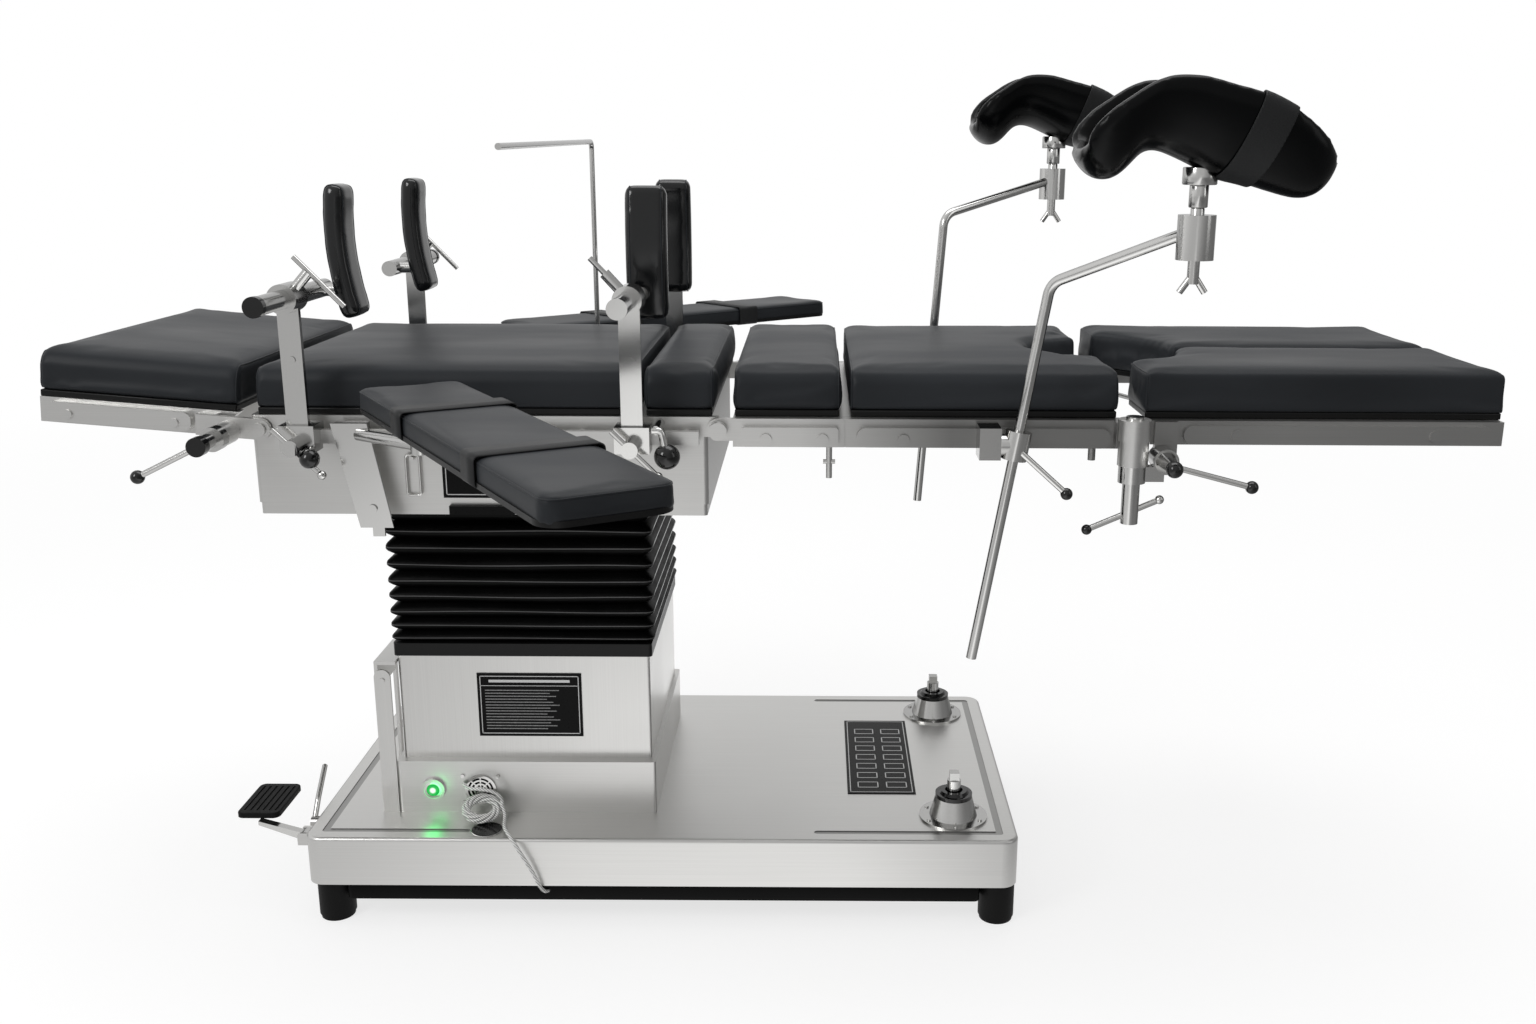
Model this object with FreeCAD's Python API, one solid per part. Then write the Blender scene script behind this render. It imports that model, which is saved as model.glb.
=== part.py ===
import FreeCAD, Part
import math
import os

# Operating table with a lifting column. Millimetres, +X to the feet of the patient,
# +Y away from the viewer, +Z up. The model is drawn around the column and moved on export.
os.makedirs("parts", exist_ok=True)
V = FreeCAD.Vector
X, Y, Z = V(1, 0, 0), V(0, 1, 0), V(0, 0, 1)

# Whole table
table_width = 500
frame_top = 746
frame_depth = 38
board_thick = 7
cushion_thick = 60
cushion_gap = 4
running_gap = 0.05
centre_x, centre_y = 363, -51

# Accessory rails, measured from the cushions and from the top of the frames
rail_offset, rail_thick = 28, 10
rail_drop, rail_height = 33, 18

# Base
base_left, base_right, base_width = -306, 716, 550
base_sheet = 3
cover_bottom, cover_top = 66, 139
chassis_bottom = 52
foot_radius, foot_height, foot_inset = 26, 60, 30
jack_inset, jack_radius, jack_bore = 86, 50, 13
groove_inset, groove_width = 26, 10
pedal_width, pedal_length, pedal_pin = 100, 62, 5

# Column and lift
plinth_x, plinth_y, plinth_top = 190, 191, 220
column_inset_x, column_inset_y, column_top = 7, 17, 379
post_width = 24
button_radius, grille_radius = 12.95, 23
bellows_folds, bellows_height, fold_depth, clamp_height = 9, 206, 14, 19
ram_half, guide_wall = 74.95, 15
tilt_drop, shaft_radius = 56, 12

# Table top
centre_left, centre_right = -330, 278
skirt_depth, skirt_seam, skirt_sheet = 136, 16, 5
head_length, head_rise = 272, 4.5
head_pin, seat_pin = 7, 8
kidney_left, kidney_width, kidney_post = 190, 100, 10
crank_radius, crank_reach = 6, 26
seat_split, seat_right = 461, 829
leg_length, leg_gap = 487, 26
post_radius, tilt_pin = 11.5, 8
notch_radius = 88

# Accessories
support_left, support_right = -252, 183
support_tube, support_rise = 12, 159
pad_height, pad_width, pad_thick, pad_bow = 190, 62, 34, 420
arm_length, arm_width, arm_thick, arm_rise = 665, 135, 24, 56
arm_pivot_x, arm_offset, arm_pin, far_arm_shift = -77, 71, 6, 17
arm_angle_near, arm_angle_far = -59, -42
stirrup_rod_radius, holder_offset = 7, 170
holder_post, holder_wall = 8, 13
screen_x, screen_radius, screen_height = 52, 4, 355
cord_radius = 2.8

# What follows from them
half_width = table_width / 2
base_half = base_width / 2
rail_face = half_width + rail_offset
rail_low = frame_top - rail_drop
rail_high = rail_low + rail_height
skirt_half = half_width + 2
ear_in, ear_out = skirt_half + 2.5, skirt_half + 10
cushion_low = frame_top + board_thick
cushion_top = cushion_low + cushion_thick
foot_x, foot_y = (base_left + foot_inset, base_right - foot_inset + 4), base_half - foot_inset - 7
jack_x, jack_y = base_right - jack_inset - 2, base_half - jack_inset + 5
column_x, column_y = plinth_x - column_inset_x, plinth_y - column_inset_y
bellows_x, bellows_y = column_x + 7, column_y + 2
bellows_bottom = column_top + clamp_height
bellows_top = frame_top - skirt_depth - 6
tilt_height = frame_top - tilt_drop
skirt_bottom = frame_top - skirt_depth
head_pivot_x, head_pivot_z = centre_left + 14, frame_top - 18
head_right = centre_left - 16
head_left = head_right - head_length
kidney_right = kidney_left + kidney_width
kidney_middle, crank_x, crank_z = kidney_left + kidney_width / 2, kidney_left + 25, frame_top - 8
seat_pivot_x, seat_pivot_z = centre_right + 15, frame_top - 15
seat_left = seat_pivot_x + 15
leg_left = seat_right + leg_gap
leg_right = leg_left + leg_length
leg_post_x, leg_post_y = seat_right + 10, half_width + 35
leg_tilt_x, leg_tilt_z = seat_right + 51, frame_top - 48
support_height = frame_top + support_rise
arm_top, arm_pivot_y = frame_top + arm_rise, -rail_face - arm_offset
holder_y = half_width + holder_offset


def box(x0, x1, y0, y1, z0, z1, corner=0.0, edge=0.0):
    """A block between two corners, with rounded upright corners and rounded top edges."""
    solid = Part.makeBox(x1 - x0, y1 - y0, z1 - z0, V(x0, y0, z0))
    if corner:
        uprights = [e for e in solid.Edges if abs(e.Vertexes[0].Z - e.Vertexes[-1].Z) > 1e-6]
        solid = solid.makeFillet(corner, uprights)
    if edge:
        rim = [e for e in solid.Edges if min(v.Z for v in e.Vertexes) > z1 - 1e-6]
        solid = solid.makeFillet(edge, rim)
    return solid


def rod(start, end, radius):
    return Part.makeCylinder(radius, (end - start).Length, start, end - start)


def cross_rod(x, z, y0, y1, radius):
    """A round bar across the table."""
    return rod(V(x, y0, z), V(x, y1, z), radius)


def upright(x, y, z0, z1, radius):
    return rod(V(x, y, z0), V(x, y, z1), radius)


def cone(start, end, radius_a, radius_b):
    return Part.makeCone(radius_a, radius_b, (end - start).Length, start, end - start)


def plate(outline, y0, y1):
    """A flat plate with an outline in X and Z."""
    corners = [V(x, y0, z) for x, z in outline]
    return Part.Face(Part.makePolygon(corners + corners[:1])).extrude(V(0, y1 - y0, 0))


def rail_plate(x0, x1, z0, z1, y0, y1, corner):
    """A flat plate on the side of a frame, with its four corners rounded."""
    solid = Part.makeBox(x1 - x0, y1 - y0, z1 - z0, V(x0, y0, z0))
    return solid.makeFillet(corner, [e for e in solid.Edges if abs(e.Vertexes[0].Y - e.Vertexes[-1].Y) > 1e-6])


def knob(tip, way, radius):
    """Ball knob with a flat where it meets its lever and a small one at its tip."""
    way = V(way).normalize()
    return Part.makeSphere(radius, tip + way * (radius * math.sin(math.radians(60))), way, -60, 80, 360)


def joined(*shapes):
    """One solid from shapes that overlap or share a face."""
    first, rest = shapes[0], list(shapes[1:])
    return first.fuse(rest).removeSplitter().Solids[0] if rest else first


def mirrored(shapes):
    """The same pieces on the other side of the table."""
    return [s.mirror(V(0, 0, 0), Y) for s in shapes]


def widest_bend(before, corner, after):
    """Radius of the arc that leaves a tenth of the shorter run straight."""
    shorter = min((before - corner).Length, (after - corner).Length)
    return 0.45 * shorter * math.tan((before - corner).getAngle(after - corner) / 2)


def bent_bar(points, radius, bend=None):
    """A round bar through the points, with its corners rounded by arcs as large as asked or as fit."""
    edges, start = [], points[0]
    for before, corner, after in zip(points, points[1:], points[2:]):
        arc = bend or widest_bend(before, corner, after)
        a, b = (before - corner).normalize(), (after - corner).normalize()
        half = a.getAngle(b) / 2
        reach = arc / math.tan(half)
        middle = corner + (a + b).normalize() * (arc / math.sin(half) - arc)
        edges.append(Part.makeLine(start, corner + a * reach))
        edges.append(Part.Arc(corner + a * reach, middle, corner + b * reach).toShape())
        start = corner + b * reach
    edges.append(Part.makeLine(start, points[-1]))
    profile = Part.Wire(Part.makeCircle(radius, points[0], points[1] - points[0]))
    return Part.Wire(edges).makePipeShell([profile], True, False)


def save(node, shapes):
    whole = Part.makeCompound(shapes)
    whole.translate(V(-centre_x, -centre_y, 0))
    whole.exportStep("parts/%s.step" % node)


# Base

def base_cover():
    """Folded steel tray turned upside down, with a pressed groove around its top and the pedal's hinge."""
    half, wall = base_half, base_sheet
    cover = box(base_left, base_right, -half, half, cover_bottom, cover_top, 24, 5)
    cover = cover.cut(box(base_left + wall, base_right - wall, wall - half, half - wall, 0, cover_top - wall, 21))
    left, right, side = base_left + groove_inset, base_right - groove_inset, half - groove_inset
    middle_left, middle_right = 113 - plinth_x, base_right - 288
    for x0, x1, y0, y1 in (
        (left, middle_left, -side, -side), (middle_right, right, -side, -side), (left, left, -side, side),
        (right, right, -side, side), (middle_right, right, side, side), (left, middle_left, side, side),
    ):
        grow = groove_width / 2
        groove = box(x0 - grow, x1 + grow, y0 - grow, y1 + grow, cover_top - 1.2, cover_top + 5, grow - 0.1)
        cover = cover.cut(groove)
    hinge_x, hinge_y = base_left - 12, -half + 34
    hinge = cross_rod(hinge_x, 118, hinge_y, hinge_y + 30, pedal_pin)
    for y in (hinge_y, hinge_y + 24):
        hinge = hinge.fuse(box(hinge_x - 8, base_left, y, y + 6, 110, 126))
    return joined(cover, hinge)


def foot_collars():
    return [upright(x, y, foot_height, cover_bottom + 4, 19) for x in foot_x for y in (-foot_y, foot_y)]


def base_chassis():
    half = base_half
    deck = box(base_left + 4, base_right - 4, 4 - half, half - 4, cover_bottom + 4, cover_top - base_sheet, 20)
    keel = box(base_left + 74, base_right - 53, 20 - half, half - 20, chassis_bottom, cover_bottom + 4, 10)
    return joined(deck, keel)


def feet():
    solids = []
    for x in foot_x:
        for y in (-foot_y, foot_y):
            solids.append(joined(upright(x, y, 0, 6, foot_radius - 2), upright(x, y, 6, foot_height, foot_radius)))
    return solids


def jack_housing(y):
    """Flanged steel cone with its black cap and six small screws."""
    top = cover_top
    flange = upright(jack_x, y, top, top + 3, jack_radius)
    flare = cone(V(jack_x, y, top + 3), V(jack_x, y, top + 32), jack_radius - 15, jack_radius - 23)
    cap = upright(jack_x, y, top + 32, top + 38, jack_radius - 23)
    cap = joined(cap, cone(V(jack_x, y, top + 38), V(jack_x, y, top + 42), jack_radius - 28, jack_radius - 31))
    bore = upright(jack_x, y, top - 1, top + 60, jack_bore)
    screws = []
    for i in range(6):
        a, reach = math.radians(30 + 60 * i), jack_radius - 7
        screws.append(upright(jack_x + reach * math.cos(a), y + reach * math.sin(a), top + 3, top + 5, 3))
    return [joined(flange, flare).cut(bore), cap.cut(bore)] + screws


def jack_screw(y):
    """Square-headed lifting screw that is turned by a key."""
    stem = upright(jack_x, y, cover_top, cover_top + 58, jack_bore - 3)
    head = box(jack_x - 7, jack_x + 7, y - 7, y + 7, cover_top + 58, cover_top + 70)
    collar = upright(jack_x, y, cover_top, cover_top + 20, jack_bore - running_gap)
    return joined(stem, collar, head)


def button_centre():
    return V(52 - plinth_x, -plinth_y, cover_top + 37)


def grille_centre():
    return V(122 - plinth_x, -plinth_y, cover_top + 37)


def plinth():
    """Lower box of the column with holes for the fan and the button, and the ring round the button."""
    wall = base_sheet
    shell = box(-plinth_x, plinth_x, -plinth_y, plinth_y, cover_top, plinth_top, 5)
    inside = box(wall - plinth_x, plinth_x - wall, wall - plinth_y, plinth_y - wall, 0, plinth_top - wall, 3)
    throat = box(8 - column_x, column_x - 8, 8 - column_y, column_y - 8, 0, plinth_top + 5)
    button, fan, bore = button_centre(), grille_centre(), button_radius + running_gap
    shell = shell.cut([inside, throat, rod(button - Y, button + Y * 10, bore + 1),
                       rod(fan - Y, fan + Y * 10, grille_radius - 6)])
    ring = rod(button - Y * 5, button, bore + 4.5).cut(rod(button - Y * 6, button + Y, bore))
    return [shell, ring]


def column_shell():
    wall = base_sheet
    shell = box(-column_x, column_x, -column_y, column_y, plinth_top, column_top, 5)
    return shell.cut(box(wall - column_x, column_x - wall, wall - column_y, column_y - wall, 0, column_top + 5, 3))


def side_post():
    """Guide bracket beside the column with a rounded front strip and an open slot."""
    left, right, front, back = -plinth_x - post_width, -plinth_x - 0.5, 1 - plinth_y, 101 - plinth_y
    middle, top = (left + right) / 2, column_top - 29
    side = box(left, left + 5, front + 4, back, cover_top, column_top - 6)
    side = side.cut(box(left - 1, left + 6, front + 20, back - 10, plinth_top - 40, column_top - 49))
    strip = box(left, right, front, front + 4, cover_top, top)
    arch = cross_rod(middle, top, front, front + 4, (right - left) / 2)
    cap = box(left, -column_x, front + 4, back, column_top - 11, column_top - 6)
    screw = cross_rod(middle, top - 5, front - 2, front, 4)
    return [joined(side, cap, strip, arch), screw]


def plate_labels():
    """Bare black plates: one on the column and one on the base."""
    front = -column_y
    rating = box(114 - column_x, 266 - column_x, front - 1.5, front, plinth_top + 34, plinth_top + 132)
    label = box(jack_x - 154, jack_x - jack_radius, 70 - jack_y, 350 - jack_y, cover_top, cover_top + 1.2)
    return [rating, label]


def grille():
    """Round fan guard with three rings and eight spokes, its three screws, and the plug in the base before it."""
    centre, outside = grille_centre(), grille_radius
    guard = rod(centre - Y * 3, centre, 5)
    for outer, inner in ((outside, outside - 4), (outside - 7, outside - 9.5), (outside - 12.5, outside - 15)):
        guard = guard.fuse(rod(centre - Y * 3, centre, outer).cut(rod(centre - Y * 4, centre + Y, inner)))
    for i in range(4):
        bar = Part.makeBox(2 * outside - 4, 2, 2, V(2 - outside, -1, -1))
        bar.rotate(V(0, 0, 0), Y, 45 * i)
        bar.translate(centre - Y * 1.5)
        guard = guard.fuse(bar)
    reach = outside + 3
    spots = [centre + V(x, 0, z) for x, z in ((-reach, reach - 5), (reach, reach - 5), (-reach, 5 - reach))]
    plug = upright(centre.x + 19, 28 - base_half, cover_top, cover_top + 1.5, 21)
    return [joined(guard), plug] + [rod(spot - Y * 2, spot, 3) for spot in spots]


def lift_guide():
    """Fixed square guide inside the bellows, bolted to the base."""
    bore, out = ram_half + running_gap, ram_half + guide_wall
    outer = box(-out, out, -out, out, cover_top, bellows_top - 64, 8)
    return outer.cut(box(-bore, bore, -bore, bore, cover_top + 10, bellows_top, 3))


def bellows():
    """Square bellows: a zigzag skin between two flat ends."""
    def wire(half_x, half_y, z):
        c = 14
        pts = [(half_x, c - half_y), (half_x, half_y - c), (half_x - c, half_y), (c - half_x, half_y),
               (-half_x, half_y - c), (-half_x, c - half_y), (c - half_x, -half_y), (half_x - c, -half_y)]
        return Part.makePolygon([V(x, y, z) for x, y in pts + pts[:1]])

    pitch = (bellows_top - bellows_bottom) / bellows_folds
    outer, inner = [], []
    for i in range(2 * bellows_folds + 1):
        inset = fold_depth if i % 2 == 0 else 0
        z = bellows_bottom + i * pitch / 2
        outer.append(wire(bellows_x - inset, bellows_y - inset, z))
        inner.append(wire(bellows_x - 3 - inset, bellows_y - 3 - inset, z))
    return Part.makeLoft(outer, True, True).cut(Part.makeLoft(inner, True, True))


def bellows_frame():
    """Black frame that clamps the lower end of the bellows to the column."""
    x, y = column_x + 4, column_y + 3
    ring = box(-x, x, -y, y, column_top, bellows_bottom, 6)
    return ring.cut(box(27 - x, x - 27, 31 - y, y - 31, column_top - 1, bellows_bottom + 1))


# Power cord. Its points stay as chosen.
coil_centre, coil_lean, coil_bend, coil_half, coil_thick = V(-62, -212, 160.5), 35, 14, 11, 9
cord_lead = [V(-92, -194, 186), V(-84, -212, 187), V(-62, -220, 190), V(-38, -220, 182), V(-27, -215, 160)]
cord_tail = [V(-52, -220, 158), V(-42, -242, 152), V(-26, -262, 149), V(-9, -281, 146), V(5, -288, 128),
             V(15, -286, 108), V(24, -284, 89), V(31, -283, 68), V(38, -270, 51), V(44, -248, 52)]


def coil():
    """Outer shape of the neat coil that stands on the base and leans on the fan guard."""
    bend, thick = coil_bend, coil_thick
    ring = [Part.makeTorus(bend, thick, V(s * coil_half, 0, 0), Y, 0, 360, 360) for s in (-1, 1)]
    left = ring[0].common(box(-99, -coil_half, -99, 99, -99, 99))
    right = ring[1].common(box(coil_half, 99, -99, 99, -99, 99))
    bars = [rod(V(-coil_half, 0, z), V(coil_half, 0, z), thick) for z in (-bend, bend)]
    whole = joined(left, right, *bars)
    whole.rotate(V(0, 0, 0), X, -coil_lean)
    whole.translate(coil_centre)
    return whole


def power_cord():
    """The coil, the lead from the fan guard to it, and the tail that goes over the edge and under the base."""
    for points in (cord_lead, cord_tail):
        bends = [widest_bend(*corner) for corner in zip(points, points[1:], points[2:])]
        print("cord bends in mm", [round(bend, 1) for bend in bends])
    wound, keel = coil(), base_chassis()
    ends = [bent_bar(points, cord_radius).cut([wound, keel]) for points in (cord_lead, cord_tail)]
    return [wound] + [max(end.Solids, key=lambda s: s.Volume) for end in ends]


# Foot controls

def pump_pedal():
    """Flat arm of the foot pump with its hub."""
    x, y = base_left - 12, -base_half + 43
    arm = plate([(x, 112), (x - 66, 137), (x - 66, 143), (x, 124)], y, y + 12)
    arm = joined(arm, cross_rod(x, 118, y - 2, y + 14, pedal_pin + 4))
    return arm.cut(cross_rod(x, 118, y - 8, y + 22, pedal_pin + running_gap))


def pedal_pad():
    """Ribbed tread on the end of the pedal arm."""
    right, front = base_left - 52, -base_half + 53
    left = right - pedal_length
    pad = box(left, right, front, front + pedal_width, 143, 151, 10, 2)
    count = int((pedal_length - 12) / 9) + 1
    return pad.cut([box(left + 8 + 9 * i, left + 11 + 9 * i, front + 10, front + pedal_width - 10, 149.5, 160)
                    for i in range(count)])


def release_lever():
    """Bent release lever at the left end of the base."""
    x, y = base_left - 12, 83 - base_half
    bar = bent_bar([V(x, y, 122), V(x, y + 24, 150), V(x - 10, y + 88, 172)], 4, 14)
    return joined(bar, rod(V(x - 3, y, 122), V(base_left, y, 122), 9))


def power_button():
    return rod(button_centre() - Y * 4, button_centre() + Y * 6, button_radius)


# Lift, tilt and the centre section

def lift_ram():
    """Square ram with the top flange of the bellows and the forks of the side tilt."""
    top, x, y = bellows_top, bellows_x - 2, bellows_y - 2
    ram = box(-ram_half, ram_half, -ram_half, ram_half, bellows_bottom - 98, top, 3)
    flange = box(-x, x, -y, y, top, top + 8, 10)
    ears = []
    for x in (-74, 54):
        ears.append(box(x, x + 20, -45, 45, top + 8, tilt_height))
        ears.append(rod(V(x, 0, tilt_height), V(x + 20, 0, tilt_height), shaft_radius + 16))
    whole = joined(ram, flange, *ears)
    return whole.cut(rod(V(-90, 0, tilt_height), V(90, 0, tilt_height), shaft_radius + running_gap))


def tilt_cradle():
    """Cross of two shafts that carries both tilts."""
    middle = box(-40, 40, -40, 40, tilt_height - 30, tilt_height + 30)
    along = rod(V(-80, 0, tilt_height), V(80, 0, tilt_height), shaft_radius)
    return joined(middle, along, cross_rod(0, tilt_height, -92, 92, shaft_radius))


def centre_housing():
    """Steel skirt around the head of the column, its deck, its inner bearers and the lugs of the seat."""
    half, wall, seam = skirt_half, skirt_sheet, skirt_bottom + skirt_seam
    upper = box(centre_left, centre_right, -half, half, seam, frame_top, 6)
    lower = box(centre_left + 2, centre_right - 2, 2 - half, half - 2, skirt_bottom, seam, 5)
    shell = joined(upper, lower)
    shell = shell.cut(box(centre_left + wall, centre_right - wall, wall - half, half - wall, 0, frame_top - 6))
    bearers = []
    for y in (-88, 70):
        bearers.append(box(-34, 34, y, y + 18, tilt_height - 6, frame_top - 6))
        bearers.append(cross_rod(0, tilt_height, y, y + 18, shaft_radius + 14))
    for y in (-half, half - 12):
        bearers.append(box(centre_right - 24, seat_pivot_x, y, y + 12, seat_pivot_z - 12, frame_top))
        bearers.append(cross_rod(seat_pivot_x, seat_pivot_z, y, y + 12, 12))
    bores = [upright(kidney_middle, y, frame_top - 46, frame_top + 14, kidney_post + 1) for y in (-150, 150)]
    bores.append(cross_rod(crank_x, crank_z, -half - 5, 40 - half, crank_radius + running_gap))
    bores.append(cross_rod(0, tilt_height, -95, 95, shaft_radius + running_gap))
    return joined(shell, *bearers).cut(bores).Solids[0]


def centre_rails():
    """Both rails of the centre section on round spacers, and the caps of its hinges."""
    inner, middle = rail_thick - rail_face, (rail_low + rail_high) / 2
    left, right = centre_left + 40, centre_right - 10
    near = [box(left, right, -rail_face, inner, rail_low, rail_high)]
    near += [cross_rod(x, middle, inner, -skirt_half, 7) for x in (left + 8, -120, 110, right - 18)]
    for x, z, pin, cap, end in (
        (head_pivot_x, head_pivot_z, head_pin, head_pin + 2, 267), (seat_pivot_x, seat_pivot_z, seat_pin, seat_pin + 4, 278),
    ):
        outer = end - 250 + half_width
        near.append(joined(cross_rod(x, z, -outer, -skirt_half, pin), cross_rod(x, z, -outer, -ear_out - 1, cap)))
    return near + mirrored(near)


def cushion(x0, x1, y0, y1, round_edge=14):
    """Upholstered cushion with rounded edges, and the thin board under it."""
    pad = box(x0, x1, y0, y1, cushion_low, cushion_top, 16, round_edge)
    return [pad, box(x0 + 6, x1 - 6, y0 + 5, y1 - 5, frame_top, cushion_low)]


def back_cushion():
    return cushion(centre_left + 2, kidney_left - cushion_gap, -half_width, half_width)


def control_plate():
    """Plate of the controls on the skirt, with its tab below."""
    front, low = -skirt_half, skirt_bottom + 24
    return [box(-79, 51, front - 1.5, front, low, low + 56), box(-71, 17, front - 8, front + 2, low - 22, low - 10)]


def hanger_loop():
    """Wire loop that hangs from a stud on the skirt."""
    y, top, low = -skirt_half - 5, skirt_bottom + 83.6, skirt_bottom + 28
    side = [V(-117, y, top), V(-126, y, top), V(-126, y, low), V(-108, y, low), V(-108, y, top), V(-117, y, top)]
    return bent_bar(side, 1.6, 4)


def hanger_stud():
    return cross_rod(-117, skirt_bottom + 79, -skirt_half - 9, -skirt_half, 3)


def kidney_bridge():
    """Narrow cushion that rises between the back and the seat, on two posts."""
    pads = cushion(kidney_left, kidney_right, -half_width, half_width, 12)
    return pads + [upright(kidney_middle, y, frame_top - 106, frame_top, kidney_post) for y in (-150, 150)]


def kidney_crank():
    """Crank that winds the bridge up, with a black ball on its end."""
    y = -rail_face - rail_thick - 18
    start, tip = V(crank_x + 7, y, crank_z), V(crank_x + 11, y, crank_z + 6 - crank_reach)
    shaft = cross_rod(crank_x, crank_z, 30 - skirt_half, y, crank_radius)
    return [joined(shaft, bent_bar([V(crank_x - 5, y, crank_z), start, tip], 5, 7)), knob(tip, tip - start, 17)]


# Head section

def head_tilted(shapes):
    for s in shapes:
        s.rotate(V(head_pivot_x, 0, head_pivot_z), Y, head_rise)
    return shapes


def head_frame():
    """Frame of the head section: bevelled side beams, hinge ears, cross bars and rail plates."""
    low, left, right = frame_top - 34, head_left + 6, head_right - 2
    outer, inner = half_width - 4, half_width - 22
    ear_left, ear_low, ear_high = head_pivot_x - 84, head_pivot_z - 14, head_pivot_z + 14
    beam = plate([(left, low), (right - 37, low), (right, frame_top), (left, frame_top)], -outer, -inner)
    ear = box(ear_left, head_pivot_x, -ear_out, -ear_in, ear_low, ear_high)
    tip = cross_rod(head_pivot_x, head_pivot_z, -ear_out, -ear_in, 14)
    spacer = box(ear_left, ear_left + 24, -ear_in, -outer, ear_low, ear_high)
    boss = cross_rod(head_pivot_x - 40, head_pivot_z - 6, -rail_face - 22, -ear_out, 15)
    bore = cross_rod(head_pivot_x, head_pivot_z, -ear_out - 8, -outer, head_pin + running_gap)
    near = joined(beam, ear, tip, spacer, boss).cut(bore)
    bars = [box(x, x + 22, -inner, inner, low + 4, frame_top) for x in (left, left + 122, ear_left + 5)]
    frame = joined(near, near.mirror(V(0, 0, 0), Y), *bars)
    side = [rail_plate(left + 12, ear_left - 8, low + 4, frame_top - 4, -outer - 12, -outer, 11)]
    side += [cross_rod(x, frame_top - 19, -outer - 14.5, -outer - 12, 6) for x in (left + 42, ear_left - 30)]
    return head_tilted([frame] + side + mirrored(side))


def head_cushion():
    return head_tilted(cushion(head_left, head_right, -half_width, half_width))


def head_lever():
    """Lock of the head section: a handle with a black cap and a lever with a ball."""
    axis, y = V(head_pivot_x - 40, 0, head_pivot_z - 6), rail_face + 22
    grip = joined(rod(axis - Y * y, axis - Y * (y + 18), 16), rod(axis - Y * (y + 18), axis - Y * (y + 52), 11))
    cap = rod(axis - Y * (y + 52), axis - Y * (y + 66), 12.5)
    start, end = axis - Y * (y + 30), axis - Y * (y + 30) + V(-84, 0, -50)
    return head_tilted([joined(grip, rod(start, end, 4)), cap, knob(end, end - start, 9)])


# Seat and thigh section

def seat_frame():
    """Frame of the seat with its hinge ears, rail plates, leg sockets and cross bars."""
    low, left, right = frame_top - frame_depth, seat_left + 4, seat_right - 1
    beam = box(left, right, -ear_out, 22 - ear_out, low, frame_top)
    ear = box(seat_pivot_x, left + 18, -ear_out, -ear_in, seat_pivot_z - 15, frame_top)
    tip = cross_rod(seat_pivot_x, seat_pivot_z, -ear_out, -ear_in, 15)
    socket = upright(leg_post_x, -leg_post_y, frame_top - 55, frame_top - 22, post_radius + 8.5)
    rim = upright(leg_post_x, -leg_post_y, frame_top - 22, frame_top + 6, post_radius + 10)
    lug = box(seat_right - 12, leg_post_x, 6 - leg_post_y, 7 - ear_out, frame_top - 34, frame_top)
    near = joined(beam, ear, tip, lug, socket, rim)
    near = near.cut(upright(leg_post_x, -leg_post_y, low - 99, frame_top + 99, post_radius + running_gap))
    near = near.cut(cross_rod(seat_pivot_x, seat_pivot_z, -rail_face, 22 - ear_out, seat_pin + running_gap))
    inner = ear_out - 22
    bars = [box(x, x + 26, -inner, inner, low + 8, frame_top) for x in (left, seat_split - 13, 575, 700)]
    joint = box(seat_split - 1, seat_split + 1, -ear_out - 1, 1.5 - ear_out, low, frame_top)
    near = near.cut(joint)
    frame = joined(near, near.mirror(V(0, 0, 0), Y), *bars)
    face, side = 6 - rail_face, []
    for x0, x1, corner, marks in ((left + 12, seat_split - 9, 5, (left + 44, seat_split - 30)),
                                  (seat_split + 15, right - 16, 12.9, (seat_split + 77,))):
        side.append(rail_plate(x0, x1, frame_top - 36, frame_top - 10, face, -ear_out, corner))
        side += [cross_rod(x, frame_top - 26, face - 3, face, 8) for x in marks]
    x, y = seat_split - 21, -ear_out - 6
    pin = upright(x, y, frame_top - 78, frame_top - 36, 4)
    side.append(joined(pin, rod(V(x - 8, y, frame_top - 56), V(x + 8, y, frame_top - 56), 3)))
    side.append(upright(right - 40, y, frame_top - 52, frame_top - 36, 5))
    return [frame] + side + mirrored(side)


def seat_cushions():
    """Seat cushion and thigh cushion with its half-round notch."""
    first = cushion(seat_left, seat_split - cushion_gap / 2, -half_width, half_width)
    thigh = cushion(seat_split + cushion_gap / 2, seat_right, -half_width, half_width)
    notch = upright(seat_right, 0, frame_top - 50, cushion_top + 50, notch_radius)
    return first + [s.cut(notch) for s in thigh]


# Leg sections

def leg_post():
    """Turning post of one leg with its tommy bar and the boss of the tilt hinge."""
    x, y, top = leg_post_x, -leg_post_y, frame_top - 55
    post = upright(x, y, frame_top - 134, frame_top + 10, post_radius)
    collar = upright(x, y, top - 23, top - 0.3, post_radius + 6.5)
    arm = box(x, leg_tilt_x, y - 8, y + 8, top - 21, top - 1)
    boss = cross_rod(leg_tilt_x, leg_tilt_z, y - 15, y + 12.5, 17)
    pin = cross_rod(leg_tilt_x, leg_tilt_z, y + 9, y + 29, tilt_pin)
    left, right = V(x - 50, y, frame_top - 141), V(x + 34, y, frame_top - 104)
    whole = joined(post, collar, arm, boss, pin, rod(left, right, 4))
    return [whole, knob(left, left - right, 7), knob(right, right - left, 6)]


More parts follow.
